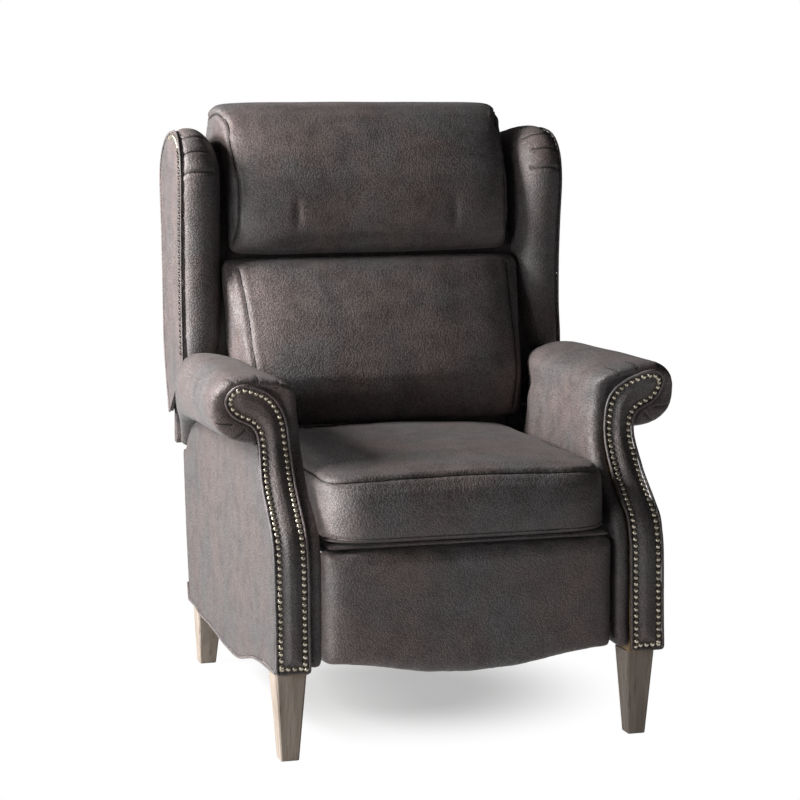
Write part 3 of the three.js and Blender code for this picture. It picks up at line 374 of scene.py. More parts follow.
def leatherMaterial(name, look, lift=1.0, paintsCreaseShade=True):
    material, tree, shader, place = newMaterial(name)
    warm, cool, dark = (tuple(c * lift for c in look[key]) for key in ("warm", "cool", "dark"))
    clouds = noiseOf(tree, place, look["cloud"], 5, 0.6)
    patches = noiseOf(tree, place, look["patch"], 4, 0.6)
    body = blended(tree, ranged(tree, clouds, 0.40, 0.60, 0, 1), warm, cool)
    body = blended(tree, ranged(tree, patches, 0.42, 0.70, 0.0, 0.55), body, dark)
    bend = addNode(tree, "ShaderNodeTexNoise", {"Vector": place, "Scale": look["bend"], "Detail": 2})
    shift = addNode(tree, "ShaderNodeVectorMath", {
        0: bend.outputs["Color"], 1: (look["bendFar"],) * 3, 2: place}, operation="MULTIPLY_ADD")
    pebbled = {"Vector": shift.outputs["Vector"], "Scale": look["pebble"], "Randomness": 1.0}
    gaps = addNode(tree, "ShaderNodeTexVoronoi", pebbled, feature="DISTANCE_TO_EDGE").outputs["Distance"]
    pores = rampOf(tree, ranged(tree, gaps, 0, look["poreWide"], 0, 1), [(0, look["pore"]), (0.62, (1, 1, 1))])
    body = blended(tree, 0.6, body, pores, "MULTIPLY")
    tops = addNode(tree, "ShaderNodeTexVoronoi", pebbled)
    domes = ranged(tree, tops.outputs["Distance"], look["domeTop"], look["domeFoot"], 1, 0,
                   interpolation_type="SMOOTHSTEP")
    each = addNode(tree, "ShaderNodeSeparateColor", {"Color": tops.outputs["Color"]}).outputs["Red"]
    level = ranged(tree, each, 0, 1, 1 - look["uneven"], 1 + look["uneven"])
    # each pebble's random tone, times painted relief shading: lighter on the pebble tops, darker at their feet
    shade = reckoned(tree, "MULTIPLY", level, ranged(tree, domes, 0, 1, *look["paintedReliefShade"]))
    grey = addNode(tree, "ShaderNodeCombineColor", {"Red": shade, "Green": shade, "Blue": shade})
    body = blended(tree, 1.0, body, grey.outputs["Color"], "MULTIPLY")
    # painted shade in seam grooves and beside nail rows, read from the values stored on the piece
    if paintsCreaseShade:
        crease = addNode(tree, "ShaderNodeAttribute", attribute_name="crease").outputs["Fac"]
        body = blended(tree, ranged(tree, crease, 0, 1, 0, 0.8), body, look["crease"])
    shine = noiseOf(tree, place, 140, 3, 0.6)
    normal = bumped(tree, noiseOf(tree, place, 34, 3, 0.5), 0.14, 2.0 * mm)
    normal = bumped(tree, domes, 0.8, look["pebbleDeep"], normal)
    normal = bumped(tree, noiseOf(tree, place, 900, 2, 0.6), 0.5, look["grainDeep"], normal)
    fill(tree, shader, {
        "Base Color": body, "Normal": normal,
        "Roughness": ranged(tree, shine, 0.35, 0.65, look["roughLow"], look["roughHigh"]),
        "Specular IOR Level": look["specular"], "Sheen Weight": look["sheen"], "Sheen Roughness": 0.45})
    return material


legLook = {
    "pale": (0.52, 0.44, 0.37),
    "deep": (0.30, 0.245, 0.20),
    "grey": (0.45, 0.40, 0.36),
    "wash": (0.62, 0.60, 0.58),
    "rough": 0.58,
}


def legMaterial():
    material, tree, shader, place = newMaterial("weathered_leg_wood")
    fibres = noiseOf(tree, stretched(tree, place, (210, 210, 7)), 1.0, 6, 0.65, 0.4)
    streaks = noiseOf(tree, stretched(tree, place, (60, 60, 2.5)), 1.0, 3, 0.5)
    colour = rampOf(tree, fibres, [(0.32, legLook["deep"]), (0.50, legLook["pale"]), (0.72, legLook["grey"])])
    wash = rampOf(tree, streaks, [(0.35, legLook["wash"]), (0.62, (1, 1, 1))])
    fill(tree, shader, {
        "Base Color": blended(tree, 0.75, colour, wash, "MULTIPLY"), "Specular IOR Level": 0.35,
        "Roughness": ranged(tree, fibres, 0.3, 0.7, legLook["rough"] + 0.1, legLook["rough"] - 0.08),
        "Normal": bumped(tree, fibres, 0.5, 0.5 * mm)})
    return material


def frameWoodMaterial():
    material, tree, shader, place = newMaterial("kiln_dried_frame_wood")
    grain = noiseOf(tree, stretched(tree, place, (30, 30, 90)), 1.0, 5, 0.6, 0.8)
    stops = [(0.3, (0.30, 0.19, 0.10)), (0.55, (0.46, 0.33, 0.19)), (0.8, (0.56, 0.43, 0.27))]
    fill(tree, shader, {
        "Base Color": rampOf(tree, grain, stops), "Roughness": 0.68,
        "Normal": bumped(tree, grain, 0.3, 0.4 * mm)})
    return material


def steelMaterial():
    material, tree, shader, place = newMaterial("zinc_plated_steel")
    cloud = noiseOf(tree, place, 40, 4, 0.6)
    fill(tree, shader, {
        "Base Color": rampOf(tree, cloud, [(0.35, (0.17, 0.17, 0.18)), (0.65, (0.30, 0.30, 0.31))]),
        "Metallic": 0.95, "Roughness": ranged(tree, cloud, 0.3, 0.7, 0.30, 0.46),
        "Normal": bumped(tree, noiseOf(tree, place, 700, 2), 0.15, 0.1 * mm)})
    return material


def webbingMaterial():
    material, tree, shader, place = newMaterial("elastic_webbing")
    across, along = (addNode(tree, "ShaderNodeTexWave", {"Vector": place, "Scale": 160, "Distortion": 0.6},
                             bands_direction=way).outputs["Color"] for way in ("X", "Y"))
    weave = blended(tree, 0.5, across, along)
    fill(tree, shader, {
        "Base Color": rampOf(tree, weave, [(0.2, (0.016, 0.014, 0.012)), (0.8, (0.062, 0.054, 0.046))]),
        "Roughness": 0.85, "Normal": bumped(tree, weave, 0.6, 0.5 * mm)})
    return material


nailLook = {"bright": (0.66, 0.60, 0.49), "aged": (0.27, 0.24, 0.19), "rough": 0.24, "metal": 0.84}


def nailMaterial(name, lift):
    material, tree, shader, place = newMaterial(name)
    patina = noiseOf(tree, place, 260, 3, 0.6)
    aged, bright = (tuple(c * lift for c in nailLook[key]) for key in ("aged", "bright"))
    fill(tree, shader, {
        "Base Color": rampOf(tree, patina, [(0.38, aged), (0.62, bright)]), "Metallic": nailLook["metal"],
        "Roughness": ranged(tree, patina, 0.3, 0.7, nailLook["rough"] + 0.16, nailLook["rough"])})
    return material


leather = leatherMaterial("pebbled_grey_leather", leatherLook)
# the same leather darkened for the arms' outside panels, which face the lamps: painted shade
outsideShadedLeather = leatherMaterial("outside_leather", leatherLook, 0.82, False)
weltLeather = leatherMaterial("welt_leather", dict(leatherLook, pebbleDeep=0.2 * mm, sheen=0.2), 1.15, False)
# the same leather darkened for tucks and board covers: painted shade of the recesses they sit in
recessShadeLeather = leatherMaterial("lining_leather", leatherLook, 0.42, False)
# near-black leather for the cords in seams and pleats: the cords are real, their near-black colour is painted
# shade of the groove
seamShadeLeather = leatherMaterial("seam_leather", dict(leatherLook, pebbleDeep=0.1 * mm), 0.12, False)
legWood = legMaterial()
frameWood = frameWoodMaterial()
steel = steelMaterial()
webbing = webbingMaterial()
brass = nailMaterial("aged_brass_nails", 1.0)
# the brass darkened almost to black for the wing nails below the top: painted shade
shadedBrass = nailMaterial("dull_brass_nails", 0.09)
print("finishes made")


def dress(obj, material, slot, body, *replaced):
    obj.data.materials.clear()
    obj.data.materials.append(material)
    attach(obj, body)
    if replaced:
        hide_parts(*replaced)


# Padded pieces: remeshed from their solid, blown up as cloth, then held to their place

def evened(obj, field, rounds):  # each point's value is drawn towards its neighbours' mean
    ends = np.empty(len(obj.data.edges) * 2, int)
    obj.data.edges.foreach_get("vertices", ends)
    a, b = ends.reshape(-1, 2).T
    count = np.bincount(ends, minlength=len(field))[:, None]
    for _ in range(rounds):
        total = np.stack([np.bincount(a, field[b, k], len(field)) + np.bincount(b, field[a, k], len(field))
                          for k in range(3)], 1)
        field = (field + total / count) / 2
    return field


def melt(obj, rounds, where=None):  # softens the form, where asked
    points = readPoints(obj)
    share = 1.0 if where is None else where(points)[:, None]
    writePoints(obj, points + (evened(obj, points, rounds) - points) * share)


clothLook = {
    "quality": 4, "mass": 0.25, "tension_stiffness": 18, "compression_stiffness": 12, "shear_stiffness": 6,
    "bending_stiffness": 1.2, "use_pressure": True,
}
puffLook = {"frames": 20, "evenRounds": 16}


def puff(obj, pressure):  # how far each point moves when the leather is blown up as cloth
    rest = readPoints(obj)
    cloth = obj.modifiers.new("Cloth", "CLOTH")
    for key, value in clothLook.items():
        setattr(cloth.settings, key, value)
    cloth.settings.uniform_pressure_force = pressure
    cloth.settings.effector_weights.gravity = 0
    cloth.point_cache.frame_end = puffLook["frames"]
    for step in range(1, puffLook["frames"] + 1):
        bpy.context.scene.frame_set(step)
    shaped = obj.evaluated_get(bpy.context.evaluated_depsgraph_get())
    moved = readPoints(shaped) - rest
    bpy.context.scene.frame_set(1)
    obj.modifiers.remove(cloth)
    return moved


def holdNear(obj, tree, sink, room):  # keeps each point within sink and room of the solid's skin
    points = readPoints(obj)
    for i, point in enumerate(points):
        spot, normal, _, _ = tree.find_nearest(Vector(point))
        proud = (Vector(point) - spot).dot(normal)
        kept = min(max(proud, -sink), room[i])
        points[i] += np.array(normal) * (kept - proud)
    writePoints(obj, points)


def softened(obj, look):  # remeshed in even faces, with its edges smoothed
    finishWith(obj, "REMESH", mode="VOXEL", voxel_size=look["voxel"], use_smooth_shade=True)
    finishWith(obj, "SMOOTH", factor=0.5, iterations=look["smooth"])
    return obj


def padFrom(node, name, look, free=None, room=None):
    obj = mergedCopy(node, name)
    tree = skinTree(obj)
    softened(obj, look)
    points, normals = readPoints(obj), readNormals(obj)
    loose = np.ones(len(points)) if free is None else free(points, normals)
    if look["pressure"]:
        writePoints(obj, points - normals * (look["pull"] * loose)[:, None])
        moved = puff(obj, look["pressure"])
        moved = evened(obj, moved, puffLook["evenRounds"])
        writePoints(obj, points + moved * (look["share"] * loose)[:, None])
    points = readPoints(obj)
    allowed = np.full(len(points), look["room"]) if room is None else room(points)
    holdNear(obj, tree, look["sink"], allowed)
    melt(obj, look["soften"])
    finishWith(obj, "SUBSURF", levels=1, render_levels=1)
    only(obj)
    bpy.ops.object.shade_smooth()
    print(name, "padded:", len(obj.data.polygons), "faces")
    return obj


def skinFrom(node, name, look):  # a leather skin over boards, softened at its edges
    obj = softened(mergedCopy(node, name), look)
    only(obj)
    bpy.ops.object.shade_smooth()
    return obj


def sideFall(points, look):  # how far back the front stands at each point's X
    inside = np.maximum(look["sideAt"] - np.abs(points[:, 0]), 0)
    return look["sideDrop"] * np.exp(-inside / look["sideReach"]) - look.get("ahead", 0)


def roundSides(obj, look, depth):  # the front falls back towards both sides, by its share of the depth
    points = readPoints(obj)
    points[:, 1] += sideFall(points, look) * depth(points)
    writePoints(obj, points)


backPlane = {"rake": 0.271, "atY": 0.116, "atZ": 0.505}  # the front of the back's frame, through one point


def planeY(z):
    return backPlane["atY"] + backPlane["rake"] * (z - backPlane["atZ"])


def paintCreaseShade(obj, values):  # stores how much painted shade each point gets in a seam groove or beside a nail row, for the leather to read
    attribute = obj.data.attributes.get("crease") or obj.data.attributes.new("crease", "FLOAT", "POINT")
    held = np.empty(len(values), np.float32)
    attribute.data.foreach_get("value", held)
    attribute.data.foreach_set("value", np.maximum(held, values).astype(np.float32))


def press(obj, line, deep, wide, swell):  # draws the skin in along a seam, with a swell beside it, and paints shade into the groove
    points, normals = readPoints(obj), readNormals(obj)
    far, _ = nearLine(points, line)
    draw = deep * np.exp(-(far / wide) ** 2)
    lift = swell * np.exp(-((far - 3.2 * wide) / (1.6 * wide)) ** 2)
    writePoints(obj, points + normals * (lift - draw)[:, None])
    paintCreaseShade(obj, np.exp(-(far / (0.7 * wide)) ** 2))


def pucker(obj, line, look):  # small folds that run into a seam
    tall, pitch, reach, seed = look
    points, normals = readPoints(obj), readNormals(obj)
    far, where = nearLine(points, line)
    gaps = np.concatenate([[0], np.cumsum(np.linalg.norm(np.diff(line, axis=0), axis=1))])
    along = gaps[where] / pitch
    wave = np.array([noise.noise(Vector((a, seed, 0.3))) for a in along])
    wave += 0.6 * np.array([noise.noise(Vector((2.3 * a, seed + 4, 0.7))) for a in along])
    writePoints(obj, points + normals * (tall * wave * np.exp(-far / reach))[:, None])


def rumple(obj, look, keep=None):  # broad soft unevenness of stuffed leather
    tall, size, seed = look
    points, normals = readPoints(obj), readNormals(obj)
    wave = np.array([noise.noise(Vector(point) / size + Vector((seed, 0, 0))) for point in points])
    if keep is not None:
        wave = wave * keep(points)
    writePoints(obj, points + normals * (tall * wave)[:, None])


def dent(obj, centre, deep, wide, tall):  # an upright dimple
    points, normals = readPoints(obj), readNormals(obj)
    away = points - np.array(centre) * mm
    far = (away[:, 0] / wide) ** 2 + (away[:, 1] / (3 * wide)) ** 2 + (away[:, 2] / tall) ** 2
    writePoints(obj, points - normals * (deep * np.exp(-far))[:, None])


def seamOn(obj, name, line, look, body):  # presses a seam and lays a cord in it: near-black leather as painted shade of the groove, or a lighter welt
    line = calm(settle(line, skinTree(obj)), 6)
    press(obj, line, look["deep"], look["wide"], look["swell"])
    laid = settle(calm(line, 2), skinTree(obj), look["rise"])
    dress(layTube(name, laid, look["cord"]), look["finish"], "leather", body)


print("tools ready")

# Seat cushion

seatLook = {
    "voxel": 6.5 * mm, "smooth": 5, "pull": 4 * mm, "pressure": 5, "share": 0.4, "room": 4 * mm, "sink": 3 * mm,
    "soften": 3, "sideRoom": 5 * mm,
    "seamZ": 480, "seamFollows": 0.62, "seamFalls": (0.30, 0.40),
    "sideAt": 257 * mm, "sideDrop": 42 * mm, "sideReach": 26 * mm, "ahead": 5 * mm,
    "rumple": (1.6 * mm, 0.11, 3),  # height, size in metres, seed
    "seam": {"deep": 3.0 * mm, "wide": 3.6 * mm, "swell": 0.8 * mm, "rise": 0.2 * mm, "cord": 1.1 * mm,
             "finish": seamShadeLeather},
    "welt": {"deep": 2.0 * mm, "wide": 4 * mm, "swell": 0, "rise": 0.6 * mm, "cord": 2.3 * mm,
             "finish": weltLeather},
}


def seatLine(side):  # from one rear corner round the front to the other, set back as the cushion's sides are
    right = curveThrough(side)
    fall = sideFall(right, seatLook) * seatLook["seamFollows"]
    right[:, 1] += fall * ease(-right[:, 1], *seatLook["seamFalls"])
    return np.vstack([right, flipped(right)[::-1][1:]])


def makeSeat():
    low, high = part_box("seat_cushion")

    def free(points, normals):
        return ease(points[:, 2], low.z + 6 * mm, low.z + 30 * mm)

    def room(points):
        atSide = ease(np.abs(points[:, 0]), high.x - 30 * mm, high.x - 8 * mm)
        return seatLook["room"] + (seatLook["sideRoom"] - seatLook["room"]) * atSide

    seat = padFrom("seat_cushion", "seat_cushion_leather", seatLook, free, room)
    roundSides(seat, seatLook, lambda p: ease(-p[:, 1], -low.y - 120 * mm, -low.y))
    rumple(seat, seatLook["rumple"], lambda p: ease(p[:, 2], low.z + 10 * mm, low.z + 50 * mm))
    half, front, rear, z = high.x / mm, low.y / mm, high.y / mm, seatLook["seamZ"]
    side = [[half - 2, rear - 14, z], [half - 1, -100, z + 1], [half - 2, front + 118, z + 1],
            [half - 3, front + 52, z - 3], [half - 12, front + 34, z - 3], [half - 29, front + 27, z - 2],
            [half - 100, front + 28, z], [half - 183, front + 31, z + 1], [0, front + 33, z + 2]]
    seamOn(seat, "seat_top_seam", seatLine(side), seatLook["seam"], "seat")
    z = low.z / mm + 5
    side = [[half - 2, rear - 14, z], [half - 2, front + 30, z], [half - 10, front + 10, z],
            [half - 30, front + 3, z], [half - 120, front, z], [0, front, z]]
    seamOn(seat, "seat_bottom_welt", seatLine(side), seatLook["welt"], "seat")
    dress(seat, leather, "leather", "seat", "seat_cushion")


makeSeat()
print("seat cushion made")

# Back cushion

backLook = {
    "voxel": 6.0 * mm, "smooth": 5, "pull": 4 * mm, "pressure": 5, "share": 0.4, "room": 3.5 * mm,
    "sink": 2 * mm, "soften": 3,
    "sideAt": 278 * mm, "sideDrop": 25 * mm, "sideReach": 34 * mm, "thick": 90 * mm,
    "rumple": (1.6 * mm, 0.12, 11), "rumpleEnds": (0.10, 0.16),  # height, size in metres, seed
    "pucker": (0.9 * mm, 0.034, 0.020, 5),  # height, pitch and reach in metres, seed
    "seam": {"deep": 2.4 * mm, "wide": 3.6 * mm, "swell": 0.8 * mm, "rise": 0.1 * mm, "cord": 0.9 * mm,
             "finish": seamShadeLeather},
}


def makeBackCushion():
    def free(points, normals):
        return 1 - ease(normals[:, 1], 0.2, 0.7)

    cushion = padFrom("back_cushion", "back_cushion_leather", backLook, free)
    roundSides(cushion, backLook, lambda p: ease(planeY(p[:, 2]) - p[:, 1], 0, backLook["thick"]))
    rumple(cushion, backLook["rumple"], lambda p: 1 - ease(p[:, 1], *backLook["rumpleEnds"]))
    side = curveThrough([[259, 47, 512], [260, 41, 540], [261, 40, 572], [261.5, 43, 600], [262.6, 50.6, 631],
                         [266, 65.4, 663.5], [265.5, 91.3, 717.7], [268, 115.7, 761.1],
                         [270, 142, 798]])
    for label, line in (("right", side), ("left", flipped(side))):
        seamOn(cushion, f"back_cushion_seam_{label}", line, backLook["seam"], "back")
        pucker(cushion, line, backLook["pucker"])
    dress(cushion, leather, "leather", "back", "back_cushion")


makeBackCushion()
print("back cushion made")

# Head cushion

headLook = {
    "voxel": 6.0 * mm, "smooth": 4, "pull": 4 * mm, "pressure": 5, "share": 0.4, "room": 3.5 * mm,
    "sink": 2 * mm, "soften": 3,
    "sideAt": 280 * mm, "sideDrop": 19 * mm, "sideReach": 27 * mm, "thick": 100 * mm,
    "rumple": (1.8 * mm, 0.12, 23), "pucker": (1.6 * mm, 0.026, 0.024, 9),
    "dents": [(-155, 132, 898), (157, 132, 898)], "dentSize": (3.4 * mm, 8 * mm, 24 * mm),
    "seam": {"deep": 3.2 * mm, "wide": 3.6 * mm, "swell": 1.0 * mm, "rise": 0.2 * mm, "cord": 1.1 * mm,
             "finish": seamShadeLeather},
}


def makeHeadCushion():
    def free(points, normals):
        lying = ease(-normals[:, 2], 0.3, 0.8) * ease(points[:, 1], 0.24, 0.27)
        return (1 - ease(normals[:, 1], 0.3, 0.8) * (points[:, 2] < 1.012)) * (1 - lying)

    cushion = padFrom("headrest_cushion", "head_cushion_leather", headLook, free)
    roundSides(cushion, headLook, lambda p: ease(planeY(p[:, 2]) - p[:, 1], 0, headLook["thick"]))
    rumple(cushion, headLook["rumple"])
    side = curveThrough([[274, 172, 845], [272.5, 150, 872], [272, 145.1, 906.7], [271.2, 148.3, 951.7],
                         [272, 151.8, 966.4], [274.5, 160.8, 977.3], [275.5, 170.8, 996.2],
                         [276.6, 181.5, 1015.2], [277.8, 193.6, 1029.7], [276.4, 203.9, 1052.2],
                         [271.7, 219.1, 1070.1], [276.6, 230.7, 1078.0], [283.0, 257.7, 1085.4],
                         [282.3, 324.1, 1074.8], [280.5, 357.2, 1065.7], [279, 392, 1030]])
    for label, line in (("right", side), ("left", flipped(side))):
        seamOn(cushion, f"head_cushion_seam_{label}", line, headLook["seam"], "back")
        pucker(cushion, line, headLook["pucker"])
    for centre in headLook["dents"]:
        dent(cushion, centre, *headLook["dentSize"])
    dress(cushion, leather, "leather", "back", "headrest_cushion")


makeHeadCushion()
print("head cushion made")

# Footrest pad

footLook = {
    "voxel": 6.0 * mm, "smooth": 5, "pull": 2 * mm, "pressure": 4, "share": 0.4, "room": 3 * mm, "sink": 3 * mm,
    "soften": 3,
    "sideAt": 264 * mm, "sideDrop": 18 * mm, "sideReach": 18 * mm, "ahead": 5 * mm,
    "rumple": (1.2 * mm, 0.14, 31),
}


def makeFootrest():
    low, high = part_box("footrest_pad")

    def free(points, normals):
        return 1 - ease(points[:, 1], high.y - 16 * mm, high.y - 4 * mm)

    pad = padFrom("footrest_pad", "footrest_pad_leather", footLook, free)
    roundSides(pad, footLook, lambda p: ease(high.y - p[:, 1], 0, high.y - low.y))
    rumple(pad, footLook["rumple"], lambda p: 1 - ease(p[:, 1], low.y + 12 * mm, low.y + 30 * mm))
    dress(pad, leather, "leather", "footrest", "footrest_pad")


makeFootrest()
print("footrest made")

# Nails: one dome, copied along a line

nailShape = {"across": 10.2 * mm, "high": 4.6 * mm, "pitch": 11.2 * mm}


def nailDome():
    bpy.ops.object.select_all(action="DESELECT")
    bpy.ops.mesh.primitive_uv_sphere_add(segments=12, ring_count=8, radius=nailShape["across"] / 2)
    dome = bpy.context.object
    bpy.ops.object.mode_set(mode="EDIT")
    bpy.ops.mesh.select_all(action="SELECT")
    bpy.ops.mesh.bisect(plane_co=(0, 0, 0.001 * mm), plane_no=(0, 0, 1), clear_inner=True)
    bpy.ops.mesh.select_all(action="SELECT")
    bpy.ops.transform.resize(value=(1, 1, 2 * nailShape["high"] / nailShape["across"]))
    bpy.ops.object.mode_set(mode="OBJECT")
    bpy.ops.object.shade_smooth()
    return dome


dome = nailDome()


def nailRow(name, spots, normals, body, finish):
    row = []
    for spot, normal in zip(spots, normals):
        nail = bpy.data.objects.new(name, dome.data.copy())
        bpy.context.collection.objects.link(nail)
        turn = Vector(normal).to_track_quat("Z", "Y").to_matrix().to_4x4()
        turn.translation = Vector(spot)
        nail.data.transform(turn)
        row.append(nail)
    dress(joined(name, row), finish, "steel", body)


# Arms: the pad with its roll, the keyhole front panel with welt and nails, and the side panel

armLook = {
    "voxel": 5.0 * mm, "smooth": 6, "pull": 1.5 * mm, "pressure": 4, "share": 0.4, "room": 3 * mm,
    "sink": 3.5 * mm, "soften": 10,
    "fuller": 20 * mm, "fullerLift": 0.35, "shoulderZ": 0.617, "shoulderTall": 0.034,
    "fullerSide": (0.31, 0.375), "fullerFront": (-0.45, -0.38), "fullerRear": (0.10, 0.16),
    "innerMelt": 60, "rumple": (1.3 * mm, 0.10, 41),
    "pleatDeep": 1.2 * mm, "pleatWide": 2.4 * mm, "pleatSwell": 0.2 * mm, "pleatRise": 0.3 * mm,
    "pleatCord": 1.0 * mm,
    "pleats": [
        [[398, -318, 650], [389, -343, 643]],
        [[342, -300, 652], [348, -342, 646]],
        [[302, -305, 645], [315, -340, 629]],
        [[417, -322, 571], [405, -325, 569.5], [389.7, -327, 569.2]],
        [[386, -325, 541], [376, -328, 550], [366.5, -329, 559.1]],
    ],
}
panelLook = {
    "voxel": 4.0 * mm, "smooth": 4, "pressure": 0, "room": 4 * mm, "sink": 2 * mm, "soften": 2,
    "crown": 8 * mm, "crownFrom": 9 * mm, "crownTo": 26 * mm,
    # the last two give the painted shade along the nail row, and its width
    "nailInset": 8.0 * mm, "nailDeep": 1.6 * mm, "nailWide": 4 * mm, "nailPaintedShade": 0.7, "nailPaintedShadeWide": 4.5 * mm,
    "weltCord": 2.5 * mm, "weltRise": 0.4 * mm,
}
sideLook = {
    "voxel": 4.0 * mm, "smooth": 4, "weltCord": 2.4 * mm, "rumple": (0.8 * mm, 0.16, 61),
    "weltTop": 0.168, "weltRear": 0.318,
}


def makeArm():
    arm = padFrom("arm_pad_right", "arm_pad_leather_right", armLook)
    points = readPoints(arm)
    lengthwise = ease(points[:, 1], *armLook["fullerFront"]) * (1 - ease(points[:, 1], *armLook["fullerRear"]))
    shoulder = np.exp(-((points[:, 2] - armLook["shoulderZ"]) / armLook["shoulderTall"]) ** 2)
    fuller = shoulder * (1 - ease(points[:, 0], *armLook["fullerSide"])) * lengthwise
    points[:, 0] -= armLook["fuller"] * fuller
    points[:, 2] += armLook["fullerLift"] * armLook["fuller"] * fuller
    writePoints(arm, points)
    melt(arm, armLook["innerMelt"], lambda p: (1 - ease(p[:, 0], 0.29, 0.31)) * ease(p[:, 2], 0.50, 0.53)
         * (1 - ease(p[:, 2], 0.60, 0.63)) * ease(p[:, 1], -0.44, -0.40))  # the upper part of the inner face
    rumple(arm, armLook["rumple"])
    tree = skinTree(arm)
    creases = []
    for i, points in enumerate(armLook["pleats"]):
        line = settle(curveThrough(points, 2 * mm), tree)
        press(arm, line, armLook["pleatDeep"], armLook["pleatWide"], armLook["pleatSwell"])
        laid = settle(line, skinTree(arm), armLook["pleatRise"])
        thin = np.linspace(0.35, 1, len(laid)) if i < 3 else np.ones(len(laid)) * 0.8
        # a cord in the pleat, in near-black leather as painted shade of the fold
        creases.append(layTube("arm_pleat", laid, armLook["pleatCord"], taper=thin))
    return arm, joined("arm_pleats_right", creases)


def makeFrontPanel():
    outline, frontTree = outlineOf("arm_front_panel_right", lambda face: face.normal.y < -0.3)
    panel = padFrom("arm_front_panel_right", "arm_front_leather_right", panelLook)
    points, normals = readPoints(panel), readNormals(panel)
    flat = np.array([1, 0, 1])
    far, _ = nearLine(points * flat, outline * flat)
    facing = ease(-normals[:, 1], 0.25, 0.6)
    rise = panelLook["crown"] * ease(far, panelLook["crownFrom"], panelLook["crownTo"])
    nailLine = closedSteps(calm(insetLine(outline, panelLook["nailInset"]), 3, True), nailShape["pitch"])
    toNails, _ = nearLine(points * flat, closedSteps(nailLine, 2 * mm) * flat)
    draw = panelLook["nailDeep"] * np.exp(-(toNails / panelLook["nailWide"]) ** 2)
    points[:, 1] -= (rise - draw) * facing
    writePoints(panel, points)
    # painted shade in a band along the nail row, on the faces turned to the front
    dark = panelLook["nailPaintedShade"] * np.exp(-(toNails / panelLook["nailPaintedShadeWide"]) ** 2)
    paintCreaseShade(panel, dark * facing)
    welt = calm(settle(outline, frontTree, panelLook["weltRise"]), 2, True)
    welt = layTube("arm_welt_right", welt, panelLook["weltCord"], True)
    tree = skinTree(panel)
    spots, ways = [], []
    for point in nailLine:
        spot, normal, _, _ = tree.ray_cast(Vector((point[0], -0.6, point[2])), Vector((0, 1, 0)))
        if spot is not None:
            spots.append(np.array(spot))
            ways.append(np.array((normal + Vector((0, -1, 0))).normalized()))
    return panel, welt, spots, ways


def makeSidePanel():
    loop, _ = outlineOf("arm_side_panel_right", lambda face: face.normal.x > 0.9)
    lowest = (loop[:, 2] < sideLook["weltTop"]) & (loop[:, 1] < sideLook["weltRear"])
    start = np.flatnonzero(lowest & ~np.roll(lowest, 1))[0]
    low = np.roll(loop, -start, 0)
    low = low[:np.flatnonzero(~np.roll(lowest, -start))[0]]
    panel = skinFrom("arm_side_panel_right", "arm_side_leather_right", sideLook)
    rumple(panel, sideLook["rumple"])
    welt = layTube("side_welt_right", calm(low, 3), sideLook["weltCord"])
    return panel, welt


def dressArm():
    arm, pleats = makeArm()
    panel, welt, spots, ways = makeFrontPanel()
    made = [arm, pleats, panel, welt, *makeSidePanel()]
    for label, sign in bothSides.items():
        if sign < 0:
            made = [mirroredCopy(part) for part in made]
        pad, folds, front, cord, flank, hem = made
        dress(pad, leather, "leather", "root", f"arm_pad_{label}")
        dress(folds, seamShadeLeather, "leather", "root")
        dress(front, leather, "leather", "root", f"arm_front_panel_{label}")
        dress(cord, weltLeather, "leather", "root")
        dress(flank, outsideShadedLeather, "leather", "root", f"arm_side_panel_{label}")
        dress(hem, weltLeather, "leather", "root")
        mirror = np.array([sign, 1, 1])
        nailRow(f"arm_nails_{label}", [s * mirror for s in spots], [w * mirror for w in ways], "root", brass)


dressArm()
print("arms made")

# Wings: the rolled pad with pleats, the outer panel with welt and nails

wingLook = {
    "voxel": 5.0 * mm, "smooth": 6, "pull": 1.5 * mm, "pressure": 4, "share": 0.4, "room": 3 * mm,
    "sink": 3.5 * mm, "soften": 10,
    "rumple": (1.2 * mm, 0.10, 71),
    "pleatDeep": 2.4 * mm, "pleatWide": 3.0 * mm, "pleatSwell": 0.7 * mm, "pleatRise": 0.4 * mm,
    "pleatCord": 1.2 * mm,
    "pleats": [
        [[373, 184, 1035], [349, 175.9, 1045], [330, 180, 1044], [315, 190, 1034]],
        [[374, 150, 1013], [358, 144.9, 1018], [338, 146, 1018], [324, 153, 1016]],
        [[375, 140, 975], [359, 129, 980], [331, 131, 979.5], [316, 141, 979]],
    ],
}
wingSkinLook = {
    "voxel": 4.0 * mm, "smooth": 3, "weltCord": 2.0 * mm, "nailInset": 10 * mm,
    # the last key is the height below which the wing nails take painted shade
    "nailFrom": 0.632, "nailRear": 0.30, "frontRear": 0.23, "topTall": 0.05, "paintedShadeBelow": 1.022,
}


def makeWing():
    pad = padFrom("wing_pad_right", "wing_pad_leather_right", wingLook)
    rumple(pad, wingLook["rumple"])
    tree = skinTree(pad)
    creases = []
    for points in wingLook["pleats"]:
        line = settle(curveThrough(points, 2 * mm), tree)
        press(pad, line, wingLook["pleatDeep"], wingLook["pleatWide"], wingLook["pleatSwell"])
        laid = settle(calm(line, 6), skinTree(pad), wingLook["pleatRise"])
        thin = np.linspace(1, 0.2, len(laid))
        # a cord in the pleat, in near-black leather as painted shade of the fold
        creases.append(layTube("wing_pleat", laid, wingLook["pleatCord"], taper=thin))
    return pad, joined("wing_pleats_right", creases)


